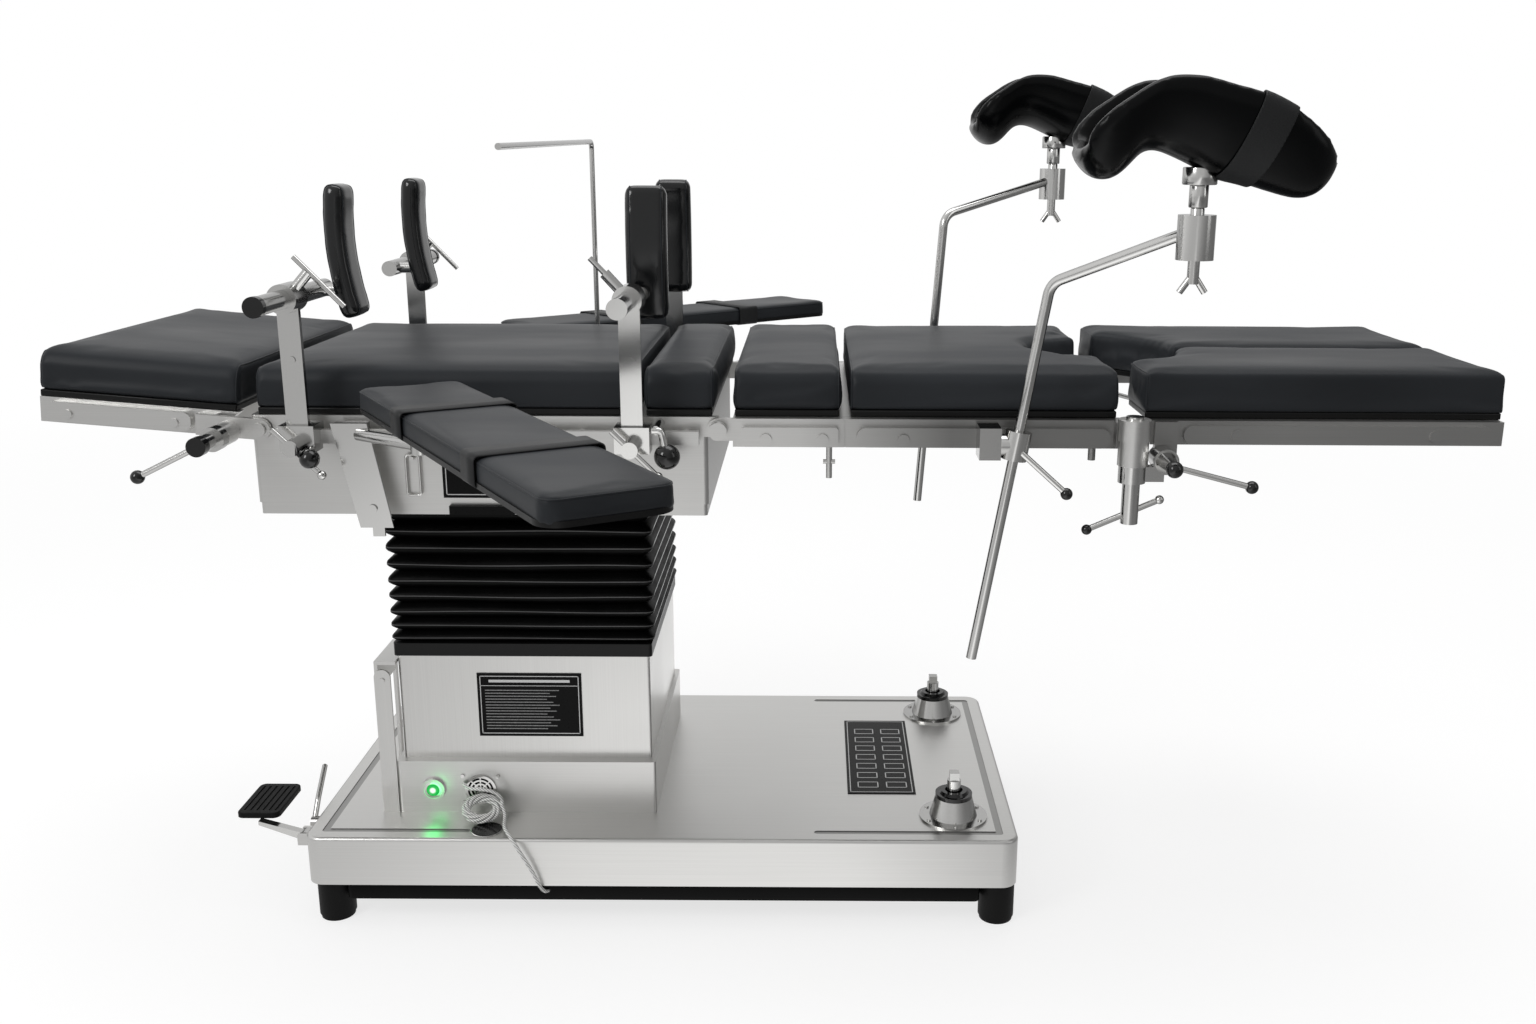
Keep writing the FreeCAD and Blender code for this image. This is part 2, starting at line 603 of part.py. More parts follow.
def leg_frame():
    """Frame of one leg section with its hinge ear, rail plate and cross bars."""
    low, outer, inner = frame_top - 32, ear_out, ear_out - 20
    left, right, ear_side = leg_left + 11, leg_right - 9, leg_post_y - 13.5
    beam = box(left, right, -outer, -inner, low, frame_top)
    ear = box(leg_tilt_x - 10, leg_tilt_x + 20, -ear_side, -outer, leg_tilt_z, frame_top)
    eye = cross_rod(leg_tilt_x, leg_tilt_z, -ear_side, -outer, 16)
    centre = box(left + 94, right, -28, -10, low, frame_top)
    bars = [box(x, x + 24, -inner, -28, low + 6, frame_top) for x in (left + 100, (left + right) / 2 + 40, right - 24)]
    frame = joined(beam, ear, eye, centre, *bars)
    frame = frame.cut(cross_rod(leg_tilt_x, leg_tilt_z, -ear_side - 9, -inner, tilt_pin + running_gap))
    rail = rail_plate(leg_tilt_x + 28, right - 16, frame_top - 30, frame_top - 5, -ear_side, -outer, 12.4)
    screws = [cross_rod(x, frame_top - 18, -ear_side - 2.5, -ear_side, 8) for x in (leg_tilt_x + 98, right - 93)]
    return [frame, rail] + screws


def leg_cushion():
    """Half-width cushion of one leg, rounded away where it meets the notch of the seat."""
    pads = cushion(leg_left, leg_right, -half_width, -cushion_gap)
    notch = upright(leg_left - 55, 0, frame_top - 50, cushion_top + 50, notch_radius + 62)
    return [s.cut(notch) for s in pads]


def leg_lever():
    """Lock of one leg: a tapered handle with a black ball and a lever with a ball."""
    axis, y = V(leg_tilt_x, 0, leg_tilt_z), leg_post_y + 15
    grip = cone(axis - Y * y, axis - Y * (y + 34), 15, 9)
    start, end = axis - Y * (y + 22), axis - Y * (y + 22) + V(100, 0, -26)
    grip = joined(grip, rod(start, end, 4))
    return [grip, knob(axis - Y * (y + 34), V(0, -1, 0), 11), knob(end, end - start, 8.5)]


# Accessories on the rails

def rail_slot(x0, x1):
    """Room for the rail in a clamp, with the open mouth under its lip."""
    return [box(x0, x1, -rail_face, rail_thick - rail_face, rail_low, rail_high),
            box(x0, x1, rail_thick / 2 - rail_face, rail_thick + 6 - rail_face, rail_low - 13, rail_low + 5)]


def rail_clamp(x, width=46):
    """Clamp block on the near rail, with its screw boss and tommy bar."""
    face, z = -rail_face, rail_low + 3
    block = box(x - width / 2, x + width / 2, face - 26, face + rail_thick + 4, rail_low - 7, rail_high + 10)
    block = block.cut(rail_slot(x - width, x + width))
    boss = cross_rod(x, z, face - 52, face - 26, 11)
    start, end = V(x - 24, face - 44, z + 24), V(x + 32, face - 44, z - 32)
    return [joined(block, boss, rod(start, end, 3.5)), knob(end, end - start, 6)]


def support_mount(x, lean):
    """Upright bar on a rail clamp, with the sleeve and wing screw for the support tube."""
    y, z = -rail_face - 14, support_height
    clamp, end_ball = rail_clamp(x)
    bar = box(x - 14, x + 14, y - 4, y + 4, rail_high + 10, z)
    sleeve = cross_rod(x, z, y - 22, y + 22, support_tube + 7)
    tip = V(x + lean * 30, y, z + 33)
    wing = rod(tip - V(18, 0, -19), tip + V(42, 0, -44), 3.5)
    mount = joined(clamp, bar, sleeve, rod(V(x, y, z), tip, 7), wing)
    mount = mount.cut(cross_rod(x, z, y - 30, y + 30, support_tube + running_gap))
    return [mount, end_ball, cross_rod(x, frame_top + 80, y - 6, y - 4, 5)]


def support_arm(x, side_pad):
    """Tube of one body support with its capped end and the socket of the pad."""
    outer, z = -rail_face - 118, support_height
    inner = 36 - half_width if side_pad else 100 - half_width
    tube = cross_rod(x, z, outer, inner, support_tube)
    if side_pad:
        lug = cross_rod(x + 8, z, inner - 8, inner + 30, 9)
    else:
        lug = rod(V(x, inner - 30, z), V(x + 40, inner - 30, z), 9)
    whole = joined(tube, lug).cut(support_pad(x, side_pad)).Solids[0]
    return [whole, cross_rod(x, z, outer - 10, outer, support_tube + 1)]


def support_pad(x, side_pad):
    """Curved upholstered pad of one body support, leaning a little."""
    half = pad_height / 2
    back = Part.makeCylinder(pad_bow, pad_width, V(pad_bow, 0, 0), Y)
    front = Part.makeCylinder(pad_bow - pad_thick, pad_width, V(pad_bow, 0, 0), Y)
    pad = back.cut(front).common(Part.makeBox(90, pad_width, pad_height, V(-10, 0, -half)))
    pad = pad.makeFillet(9, [e for e in pad.Edges if abs(e.Length - pad_width) < 1])
    pad.translate(V(0, -pad_width / 2, support_height + 51 if side_pad else support_height + 50))
    if side_pad:
        pad.rotate(V(0, 0, 0), Z, 90)
        pad.translate(V(x + 12, 44.5 - half_width, 0))
    else:
        pad.rotate(V(0, 0, support_height + 50), Y, -4)
        pad.translate(V(x + support_tube + 8, 70 - half_width, 0))
    return pad


def arm_bracket():
    """Hanging plate of one arm board with its bent bar and the post of the pivot."""
    face, left, top = -rail_face, arm_pivot_x - 137, rail_high + 10
    outline = [(left, top), (left + 48, top), (left + 74, top - 141), (left + 30, top - 141)]
    sheet = plate(outline, face - 6, face - 2)
    hook = box(left + 4, left + 46, face - 6, face + rail_thick + 4, rail_high, top)
    post = upright(arm_pivot_x, arm_pivot_y, rail_low + 3, arm_top - 40, 14)
    bar = rod(V(left + 36, face - 4, rail_low + 13), V(arm_pivot_x, arm_pivot_y, rail_low + 13), 8)
    whole = joined(sheet, hook, bar, post).cut(rail_slot(left - 6, left + 54))
    whole = whole.cut(upright(arm_pivot_x, arm_pivot_y, arm_top - 61, arm_top, arm_pin + running_gap))
    bolt = cross_rod(left + 48, top - 115, face - 9, face - 6, 6)
    tab = box(left + 46, left + 62, face - 6, face - 2, top - 153, top - 141)
    return [whole, bolt, tab]


def placed_arm(solids, angle):
    for s in solids:
        s.rotate(V(0, 0, 0), Z, angle)
        s.translate(V(arm_pivot_x, arm_pivot_y, 0))
    return solids


def arm_tray():
    """Steel tray of one arm board with its pivot pin."""
    half, top = arm_width / 2, arm_top - 2 - arm_thick
    tray = box(-45, arm_length - 45, -half, half, top - 6, top, 26)
    return joined(tray, upright(0, 0, arm_top - 40, top - 6, 16), upright(0, 0, arm_top - 61, arm_top - 40, arm_pin))


def arm_pad():
    """Long pad of one arm board and the two bands round it."""
    half, low = arm_width / 2, arm_top - 2 - arm_thick
    solids = [box(-45, arm_length - 45, -half, half, low, arm_top - 2, 26, 7)]
    for x in (130, 395):
        band = box(x, x + 42, -half - 2, half + 2, low - 8, arm_top)
        solids.append(band.cut(box(x - 1, x + 43, -half - 0.4, half + 0.4, low - 6, arm_top - 1.6)))
    return solids


def screen_rod():
    """Thin bent rod of the anaesthesia screen, from the far rail across the table."""
    y, top = rail_face + 14, frame_top + screen_height
    return bent_bar([V(screen_x, y, frame_top - 96), V(screen_x, y, top), V(screen_x, -half_width - 160, top - 8)],
                    screen_radius, 12)


def spare_knob():
    """Ball knob of the arm board's lock, on its stem beside the clamp of the head support."""
    stem = rod(V(support_left + 18, -rail_face - 20, rail_low - 2), V(support_left + 20, -rail_face - 34, rail_low - 8), 5)
    return joined(stem, knob(V(support_left + 20, -rail_face - 32, rail_low - 7), V(0.1, -1, -0.45), 13))


def screen_clamp():
    """Small clamp of the screen rod, drawn on the near rail."""
    x, face = screen_x, -rail_face
    block = box(x - 16, x + 16, face - 26, face + rail_thick + 4, rail_low - 7, rail_high + 10)
    block = block.cut(rail_slot(x - 30, x + 30))
    block = block.cut(upright(x, face - 14, frame_top - 146, frame_top + 54, screen_radius + running_gap))
    return joined(block, cross_rod(x, rail_low + 7, face - 50, face - 26, 6))


class Stirrup:
    """One leg holder on the near side: where its clamp sits, how its rod leans and where the pad is."""

    def __init__(self, clamp_x, lean, low, bend, pad_x, pad_z):
        self.clamp_x, self.lean = clamp_x, math.radians(lean)
        self.low, self.bend, self.pad_x, self.pad_z = low, bend, pad_x, pad_z

    def along(self, distance):
        """A point on the straight part of the rod, measured from its clamp."""
        x, z = self.clamp_x + distance * math.sin(self.lean), frame_top - 26 + distance * math.cos(self.lean)
        return V(x, -rail_face - 22, z)

    def clamp(self):
        """Block on the seat's rail plate, with the hub of the rod and its locking lever."""
        face, left, radius = 6 - rail_face, self.clamp_x - 49, stirrup_rod_radius
        block = box(left, left + 28, face - 40, -ear_out - 0.5, frame_top - 44, frame_top - 2)
        block = block.cut(box(left - 9, left + 50, face, -ear_out + 12, frame_top - 146, frame_top - 10))
        hub = rod(self.along(-19), self.along(19), radius + 10)
        arm = rod(V(left + 28, face - 28, frame_top - 26), self.along(0), radius + 7)
        start = V(self.clamp_x + 6, face - 41, frame_top - 34)
        end = V(self.clamp_x + 60, face - 46, frame_top - 82)
        whole = joined(block, arm, hub, rod(start, end, 4))
        return [whole.cut(rod(self.along(-60), self.along(60), radius + running_gap)), knob(end, end - start, 8)]

    def rod(self):
        """Bent rod with the clamp cylinder and its wing levers."""
        x, y, z = self.pad_x, -holder_y, self.pad_z
        bar = bent_bar([self.along(self.low), self.along(self.bend), V(x - 6, y + 8, z - 28)], stirrup_rod_radius, 26)
        body, stem = upright(x, y, z - 60, z - 8, holder_post + 14), upright(x, y, z - 88, z - 60, 7)
        wings = [rod(V(x, y, z - 76), V(x + dx, y, z - 98), 4) for dx in (-15, 15)]
        return joined(bar, body, stem, *wings).cut(upright(x, y, z - 40, z + 10, holder_post + running_gap))

    def section(self, x, top, low, half, wall=holder_wall):
        """U-shaped section of the padded trough at one place along it."""
        y, z = -holder_y, self.pad_z
        ring = []
        for radius, deep, way in ((half, top - low, 1), (half - wall, top - low - wall, -1)):
            for i in range(9)[::way]:
                a = math.pi * (1 + i / 8)
                ring.append(V(self.pad_x + x, y + radius * math.cos(a), z + top + deep * math.sin(a)))
        return Part.makePolygon(ring + ring[:1])

    def holder(self):
        """Padded trough with its drooping mouth, and its post."""
        stations = ((-150, 88, 54, 58), (-130, 117, 29, 74), (-104, 133, 33, 76), (-82, 146, 60, 73), (-50, 157, 64, 72),
                    (40, 139, 30, 74), (122, 98, 10, 68), (150, 68, 30, 52))
        trough = Part.makeLoft([self.section(*s) for s in stations], True, True)
        x, y, z = self.pad_x, -holder_y, self.pad_z
        post = joined(upright(x, y, z - 38, z, holder_post), upright(x, y, z, z + 30, holder_post + 3),
                      upright(x, y, z + 26, z + 55, holder_post + 12))
        return [trough, post.cut(trough)]


near_stirrup = Stirrup(seat_right - 146, 9.5, -298, 212, seat_right + 36, frame_top + 282)
far_stirrup = Stirrup(seat_right - 212, 4, -225, 267, seat_right + 3, frame_top + 322)


def save_both(name, build):
    shapes = build()
    shapes = shapes if isinstance(shapes, list) else [shapes]
    save(name + "_near", shapes)
    save(name + "_far", mirrored(shapes))


def main():
    save("base_cover", [base_cover()] + foot_collars())
    save("base_chassis", [base_chassis()])
    save("base_feet", feet())
    save("jack_housings", jack_housing(-jack_y) + jack_housing(jack_y))
    save("jack_screw_near", [jack_screw(-jack_y)])
    save("jack_screw_far", [jack_screw(jack_y)])
    save("column_plinth", plinth())
    save("column_cover", [column_shell()])
    save("side_post", side_post())
    save("data_plates", plate_labels())
    save("vent_grille", grille())
    save("lift_cylinder", [lift_guide()])
    save("bellows", [bellows()])
    save("bellows_frame", [bellows_frame()])
    save("power_cord", power_cord())
    save("power_button", [power_button()])
    save("pump_pedal", [pump_pedal()])
    save("pedal_pad", [pedal_pad()])
    save("release_lever", [release_lever()])

    save("lift_ram", [lift_ram()])
    save("tilt_cradle", [tilt_cradle()])
    save("centre_housing", [centre_housing(), hanger_stud()])
    save("centre_rails", centre_rails())
    save("back_cushion", back_cushion())
    save("control_plate", control_plate())
    save("hanger_loop", [hanger_loop()])
    save("kidney_bridge", kidney_bridge())
    save("kidney_crank", kidney_crank())
    save("head_frame", head_frame())
    save("head_cushion", head_cushion())
    save("head_lever", head_lever())
    save("seat_frame", seat_frame())
    save("seat_cushions", seat_cushions())
    save_both("leg_post", leg_post)
    save_both("leg_frame", leg_frame)
    save_both("leg_cushion", leg_cushion)
    save_both("leg_lever", leg_lever)

    far_bracket = arm_bracket()
    for s in far_bracket:
        s.translate(V(far_arm_shift, 0, 0))
    mounts = support_mount(support_left, 1) + support_mount(support_right, -1)
    far_side = mirrored(mounts + far_bracket + [screen_clamp()])
    near_head = joined(mounts[0], spare_knob())
    save("rail_clamps", [near_head] + mounts[1:] + arm_bracket() + far_side)
    for name, x, side_pad in (("head", support_left, False), ("foot", support_right, True)):
        save_both("support_arm_" + name, lambda: support_arm(x, side_pad))
        save_both("support_pad_" + name, lambda: support_pad(x, side_pad))
    for name, build in (("arm_tray", lambda: [arm_tray()]), ("arm_pad", arm_pad)):
        save(name + "_near", placed_arm(build(), arm_angle_near))
        far = placed_arm(build(), arm_angle_far)
        for s in far:
            s.translate(V(far_arm_shift, 0, 0))
        save(name + "_far", mirrored(far))
    save("screen_rod", [screen_rod()])

    save("stirrup_clamps", near_stirrup.clamp() + mirrored(far_stirrup.clamp()))
    save("stirrup_rod_near", [near_stirrup.rod()])
    save("stirrup_rod_far", mirrored([far_stirrup.rod()]))
    save("leg_holder_near", near_stirrup.holder())
    save("leg_holder_far", mirrored(far_stirrup.holder()))


main()
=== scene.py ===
# %% [markdown]
# An operating table is mostly brushed steel and black upholstery. The steel parts come from the
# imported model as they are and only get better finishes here. The cushions, pads, leg holders,
# bellows and the cord are made new, because their look lives in soft forms and in small folds.
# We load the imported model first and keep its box, so that we can see later that nothing grew.

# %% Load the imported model
import math
import bpy
import bmesh
from mathutils import Matrix, Vector


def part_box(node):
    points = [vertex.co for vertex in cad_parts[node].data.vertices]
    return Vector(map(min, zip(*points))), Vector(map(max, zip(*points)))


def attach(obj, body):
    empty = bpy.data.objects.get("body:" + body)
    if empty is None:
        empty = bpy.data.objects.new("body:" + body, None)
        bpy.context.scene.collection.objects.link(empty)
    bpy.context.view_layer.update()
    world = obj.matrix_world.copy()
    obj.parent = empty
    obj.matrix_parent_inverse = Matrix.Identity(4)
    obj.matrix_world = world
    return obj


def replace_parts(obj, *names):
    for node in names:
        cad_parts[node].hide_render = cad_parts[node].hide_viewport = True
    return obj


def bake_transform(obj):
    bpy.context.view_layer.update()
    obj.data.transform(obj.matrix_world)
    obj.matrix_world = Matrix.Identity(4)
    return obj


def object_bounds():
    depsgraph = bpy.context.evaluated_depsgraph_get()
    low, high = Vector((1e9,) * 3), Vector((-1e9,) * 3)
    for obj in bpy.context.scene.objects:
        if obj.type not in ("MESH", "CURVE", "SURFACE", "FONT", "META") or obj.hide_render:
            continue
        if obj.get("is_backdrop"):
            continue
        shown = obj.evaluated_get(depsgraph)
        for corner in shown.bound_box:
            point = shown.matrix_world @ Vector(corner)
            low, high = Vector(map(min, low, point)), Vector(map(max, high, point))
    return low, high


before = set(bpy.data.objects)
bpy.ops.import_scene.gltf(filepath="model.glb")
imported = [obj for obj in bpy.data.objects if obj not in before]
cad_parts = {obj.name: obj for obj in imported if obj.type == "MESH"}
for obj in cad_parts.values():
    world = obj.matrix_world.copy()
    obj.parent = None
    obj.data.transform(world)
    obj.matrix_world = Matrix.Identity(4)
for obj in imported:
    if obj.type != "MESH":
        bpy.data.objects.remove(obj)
cad_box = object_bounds()

# %% [markdown]
# All sizes of this table are easiest to give in millimetres, measured from the middle of its
# column. One helper turns such a point into the frame's metres.

# %% A point in millimetres around the column
low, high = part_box("column_cover")
column = (low + high) / 2


def at(x, y, z):
    return Vector((column.x + x / 1000, column.y + y / 1000, z / 1000))


print("middle of the column", [round(c, 4) for c in column])

# %% [markdown]
# The camera comes early, because the loose end of a cord is judged from where it stands. It looks
# down by fourteen and a half degrees from a little above the cushions. A short lens close to the
# table gives the strong change of size between its near and its far side.

# %% Camera
lens = bpy.data.cameras.new("camera")
lens.sensor_width, lens.lens, lens.shift_x = 36, 32.92, -0.0298
lens.clip_end = 60
camera = bpy.data.objects.new("camera", lens)
bpy.context.scene.collection.objects.link(camera)
stands_at, tilt, roll = (0.057, -2.040, 1.094), math.radians(75.44), 0.005
aim = Matrix.Rotation(tilt, 4, "X") @ Matrix.Rotation(roll, 4, "Z")
camera.matrix_world = Matrix.Translation(stands_at) @ aim
bpy.context.scene.camera = camera
print("camera at", [round(c, 3) for c in camera.location])

# %% [markdown]
# A finish is a small tree of nodes. Building trees by hand repeats the same steps, so we write
# the steps once: add a node, set its sockets by name, and link what feeds it. Every pattern reads
# Object coordinates, which stay with the piece when it moves.

# %% Building blocks for finishes
class Finish:
    """A material that is built node by node around one Principled shader."""

    def __init__(self, name, **shader):
        self.material = bpy.data.materials.new(name)
        self.material.use_nodes = True
        self.tree = self.material.node_tree
        self.shader = self.tree.nodes["Principled BSDF"]
        self.place = self.add("ShaderNodeTexCoord").outputs["Object"]
        for socket, value in shader.items():
            self.shader.inputs[socket.replace("_", " ")].default_value = value

    def put(self, socket, value):
        """Links a socket to what feeds it, or gives it a plain value."""
        if isinstance(value, bpy.types.NodeSocket):
            self.tree.links.new(value, socket)
        else:
            socket.default_value = value

    def add(self, kind, **sockets):
        node = self.tree.nodes.new(kind)
        for name, value in sockets.items():
            if hasattr(node, name):
                setattr(node, name, value)
            else:
                self.put(node.inputs[name.replace("_", " ")], value)
        return node

    def maths(self, kind, operation, *values):
        """A node that works on its values, which are sockets, numbers or vectors."""
        node = self.add(kind, operation=operation)
        for socket, value in zip(node.inputs, values):
            self.put(socket, value)
        return node.outputs

    def stretched(self, x, y, z):
        """Object coordinates, scaled along each axis."""
        return self.add("ShaderNodeMapping", Vector=self.place, Scale=(x, y, z)).outputs["Vector"]

    def noise(self, where, scale=1.0, detail=3.0, roughness=0.5):
        node = self.add("ShaderNodeTexNoise", Vector=where, Scale=scale, Detail=detail, Roughness=roughness)
        return node.outputs["Fac"]

    def run(self, value, start, end, low=0.0, high=1.0):
        """A number that runs from low to high as the value runs from start to end."""
        ends = {"From_Min": start, "From_Max": end, "To_Min": low, "To_Max": high}
        return self.add("ShaderNodeMapRange", Value=value, **ends).outputs["Result"]

    def colours(self, factor, stops):
        node = self.add("ShaderNodeValToRGB", Fac=factor)
        ramp = node.color_ramp
        ramp.elements[0].position, ramp.elements[-1].position = stops[0][0], stops[-1][0]
        ramp.elements[0].color, ramp.elements[-1].color = (*stops[0][1], 1), (*stops[-1][1], 1)
        for position, colour in stops[1:-1]:
            ramp.elements.new(position).color = (*colour, 1)
        return node.outputs["Color"]

    def greys(self, factor, stops):
        return self.colours(factor, [(place, (shade,) * 3) for place, shade in stops])

    def feed(self, **sockets):
        for name, value in sockets.items():
            self.tree.links.new(value, self.shader.inputs[name.replace("_", " ")])
        return self

    def bump(self, height, distance, strength=1.0):
        node = self.add("ShaderNodeBump", Height=height, Distance=distance, Strength=strength)
        return self.feed(Normal=node.outputs["Normal"])


print("finishes are built with", Finish.__name__)

# %% [markdown]
# Brushed stainless steel is drawn over a belt, so it has fine lines that all run one way. Noise
# that is stretched almost two hundred times along one axis gives those lines. They change the
# roughness much more than the height, so the bump stays very small. Slow clouds of noise add the
# faint smears that hands leave. A photographer hangs black cloths beside round bright parts, which
# gives their sides a dark line. Here that dark line is a painted reflection: the colour of the
# polished steel gets darker where it turns away. The rails at the foot end get a painted reflection
# of a dark part of the room as well: their colour gets darker along the table.

# %% Brushed and turned steel
def steel(name, along, colour, rough, line=1.0, side=1.0, painted_reflection_fade=None):
    """Steel with lines along x, y or z. Side below 1 darkens its colour where it turns away, and the stops
    along x darken it along the table: both are painted reflections.
    """
    finish = Finish(name, Metallic=1.0)
    across, lengthwise = 900.0, 5.0
    fine = [across] * 3
    fine["xyz".index(along)] = lengthwise
    lines = finish.noise(finish.stretched(*fine), 1.0, 2.0)
    clouds = finish.noise(finish.place, 5.0, 4.0)
    mixed = finish.maths("ShaderNodeMath", "MULTIPLY_ADD", lines, 0.6 * line, clouds)[0]
    finish.feed(Roughness=finish.run(mixed, 0.3, 0.7, rough * 0.85, rough * 1.25))
    darker = tuple(c * 0.95 for c in colour)
    # With side below 1, the colour darkens where the surface turns away: a painted dark reflection.
    value = finish.add("ShaderNodeLayerWeight", Blend=0.5).outputs["Facing"]
    stops = [(0.2, 1.0), (0.75, side)]
    # With stops along x, the colour darkens along the table instead: a painted reflection of a dark room.
    if painted_reflection_fade:
        along_x = finish.add("ShaderNodeSeparateXYZ", Vector=finish.place).outputs["X"]
        value, stops = finish.run(along_x, at(painted_fade_start, 0, 0).x, at(painted_fade_end, 0, 0).x), painted_reflection_fade
    shades = finish.colours(lines, [(0.3, darker), (0.7, colour)])
    dimmed = finish.maths("ShaderNodeVectorMath", "MULTIPLY", shades, finish.greys(value, stops))
    finish.feed(Base_Color=dimmed["Vector"])
    return finish.bump(lines, 0.00002 * line, 0.5).material


# Where the rail colour darkens along the table as a painted reflection, in mm.
painted_fade_start, painted_fade_end = 400, 1200
rail_painted_reflection_fade = [(0.0, 1.0), (0.25, 0.4), (0.55, 0.48), (0.8, 0.7)]
brushed = steel("brushed_steel", "x", (0.69, 0.685, 0.67), 0.30)
upright_brush = steel("upright_brushed_steel", "z", (0.70, 0.695, 0.68), 0.27, 0.5)
# Polished steel: its turned-away sides get a painted dark reflection.
polished = steel("polished_steel", "y", (0.78, 0.775, 0.76), 0.14, 0.4, 0.42)
# Darker steel for the groove in the base: painted shade.
painted_groove_shade = steel("painted_groove_shade", "x", (0.34, 0.337, 0.33), 0.25)
# The steel of the foot-end rails, with its painted reflection along the table.
rail_painted_reflection = steel("rail_painted_reflection", "x", (0.69, 0.685, 0.67), 0.30, painted_reflection_fade=rail_painted_reflection_fade)
print("steels", [s.name for s in (brushed, upright_brush, polished, painted_groove_shade, rail_painted_reflection)])

# %% [markdown]
# The upholstery is a black synthetic leather. Close up it has a pebbled grain about a millimetre
# wide, and from further away slow changes of sheen where the cover is pulled over its foam. A
# cell pattern makes the pebbles, and wide noise moves the roughness.

# %% Upholstery leather
def leather(name, colour, rough, grain=900.0, depth=0.00012, shine=0.33):
    finish = Finish(name, Specular_IOR_Level=shine)
    cells = finish.add("ShaderNodeTexVoronoi", feature="DISTANCE_TO_EDGE", Vector=finish.place, Scale=grain)
    pebbles = cells.outputs["Distance"]
    pull = finish.noise(finish.stretched(3.0, 7.0, 7.0), 1.0, 3.0)
    finish.feed(Roughness=finish.run(pull, 0.3, 0.7, rough * 0.85, rough * 1.2))
    lighter = tuple(c * 1.5 for c in colour)
    finish.feed(Base_Color=finish.colours(pull, [(0.35, colour), (0.7, lighter)]))
    wrinkles = finish.noise(finish.place, 60.0, 5.0)
    both = finish.maths("ShaderNodeMath", "MULTIPLY_ADD", pebbles, 0.6, wrinkles)[0]
    return finish.bump(both, depth, 0.6).material


cover_leather = leather("cushion_leather", (0.020, 0.022, 0.0248), 0.42, shine=0.14)
pad_leather = leather("pad_leather", (0.0014, 0.0016, 0.0018), 0.22, 700.0, 0.00003, 0.14)
support_leather = leather("support_leather", (0.0036, 0.0040, 0.0044), 0.15, 700.0, 0.00003, 0.6)
strap_leather = leather("strap_leather", (0.008, 0.0085, 0.009), 0.5, 420.0, 0.0004)
print("leathers", [skin.name for skin in (cover_leather, pad_leather, support_leather, strap_leather)])

# %% [markdown]
# The black parts are not all alike. Ball knobs are glossy moulded plastic, the bellows are a
# rubberised cloth with a faint shine, feet and pedal are dull rubber, and the chassis is painted.
# One builder with a gloss and a grain covers them all.

# %% Black plastics, rubber and paint
def black(name, shade, rough, grain, depth, shine=0.5):
    finish = Finish(name, Specular_IOR_Level=shine)
    speck = finish.noise(finish.place, grain, 4.0, 0.6)
    finish.feed(Roughness=finish.run(speck, 0.3, 0.7, rough * 0.85, rough * 1.2))
    finish.feed(Base_Color=finish.greys(speck, [(0.3, shade), (0.75, shade * 1.6)]))
    return finish.bump(speck, depth, 0.5).material


ball_plastic = black("ball_plastic", 0.003, 0.13, 40.0, 0.00002, 0.6)
moulded = black("moulded_plastic", 0.004, 0.38, 700.0, 0.00008, 0.25)
bellows_rubber = black("bellows_rubber", 0.0016, 0.42, 24.0, 0.0012, 0.08)
# Glossier rubber with a lighter colour for the lips of the bellows: real shine and a painted highlight.
lip_gloss_and_painted_highlight = black("lip_gloss_and_painted_highlight", 0.045, 0.16, 24.0, 0.0004, 0.7)
dull_rubber = black("dull_rubber", 0.004, 0.55, 500.0, 0.0002, 0.15)
chassis_paint = black("chassis_paint", 0.002, 0.42, 600.0, 0.0001, 0.08)
plate_lacquer = black("plate_lacquer", 0.003, 0.3, 300.0, 0.00003, 0.1)
print("blacks", ball_plastic.name, bellows_rubber.name, dull_rubber.name)

# %% [markdown]
# The power button shines green, white in its middle. A distance from the middle of its lens,
# sent through a colour ramp, gives that glow. The cord has a woven white cover. A wave pattern
# gives its threads, and an ambient occlusion node paints shade into the colour where its turns lie close.

# %% Lit button and cord cover
def lit_lens(middle):
    finish = Finish("lit_lens", Roughness=0.25, Emission_Strength=1.0)
    white, green, deep_green, ramps_per_metre = (0.95, 1.0, 0.97), (0.01, 0.46, 0.07), (0.0, 0.30, 0.04), 70.0
    away = finish.maths("ShaderNodeVectorMath", "DISTANCE", finish.place, middle)["Value"]
    reach = finish.maths("ShaderNodeMath", "MULTIPLY", away, ramps_per_metre)[0]
    glow = finish.colours(reach, [(0.24, white), (0.38, green), (0.95, deep_green)])
    finish.shader.inputs["Base Color"].default_value = (0.0, 0.05, 0.01, 1)
    return finish.feed(Emission_Color=glow).material


def cord_cover():
    finish = Finish("cord_cover", Roughness=0.5)
    weave = finish.add("ShaderNodeTexWave", wave_type="BANDS", bands_direction="DIAGONAL",
                       Vector=finish.place, Scale=135.0, Distortion=1.0, Detail=1.0)
    shade = finish.colours(weave.outputs["Fac"], [(0.2, (0.45, 0.45, 0.44)), (0.6, (0.98, 0.98, 0.96))])
    # Ambient occlusion darkens the colour where the turns lie close together: painted shade.
    crevice_occlusion = finish.add("ShaderNodeAmbientOcclusion", Distance=0.005, samples=8).outputs["AO"]
    painted_crevice_shade = finish.greys(crevice_occlusion, [(0.2, 0.2), (0.65, 1.0)])
    finish.feed(Base_Color=finish.maths("ShaderNodeVectorMath", "MULTIPLY", shade, painted_crevice_shade)["Vector"])
    return finish.bump(weave.outputs["Fac"], 0.0005, 0.8).material


button_low, button_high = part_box("power_button")
button_middle = (button_low + button_high) / 2
button_face = Vector((button_middle.x, button_low.y, button_middle.z))
lens_glow = lit_lens(button_face)
cord_white = cord_cover()
print("button face at", [round(c, 3) for c in button_face])

# %% [markdown]
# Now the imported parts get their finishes. Their shapes stay, only the material changes. Beams and
# skirts are brushed along the table, the column upwards, and rods and clamps are bright. Trays,
# feet, chassis and plates are black.

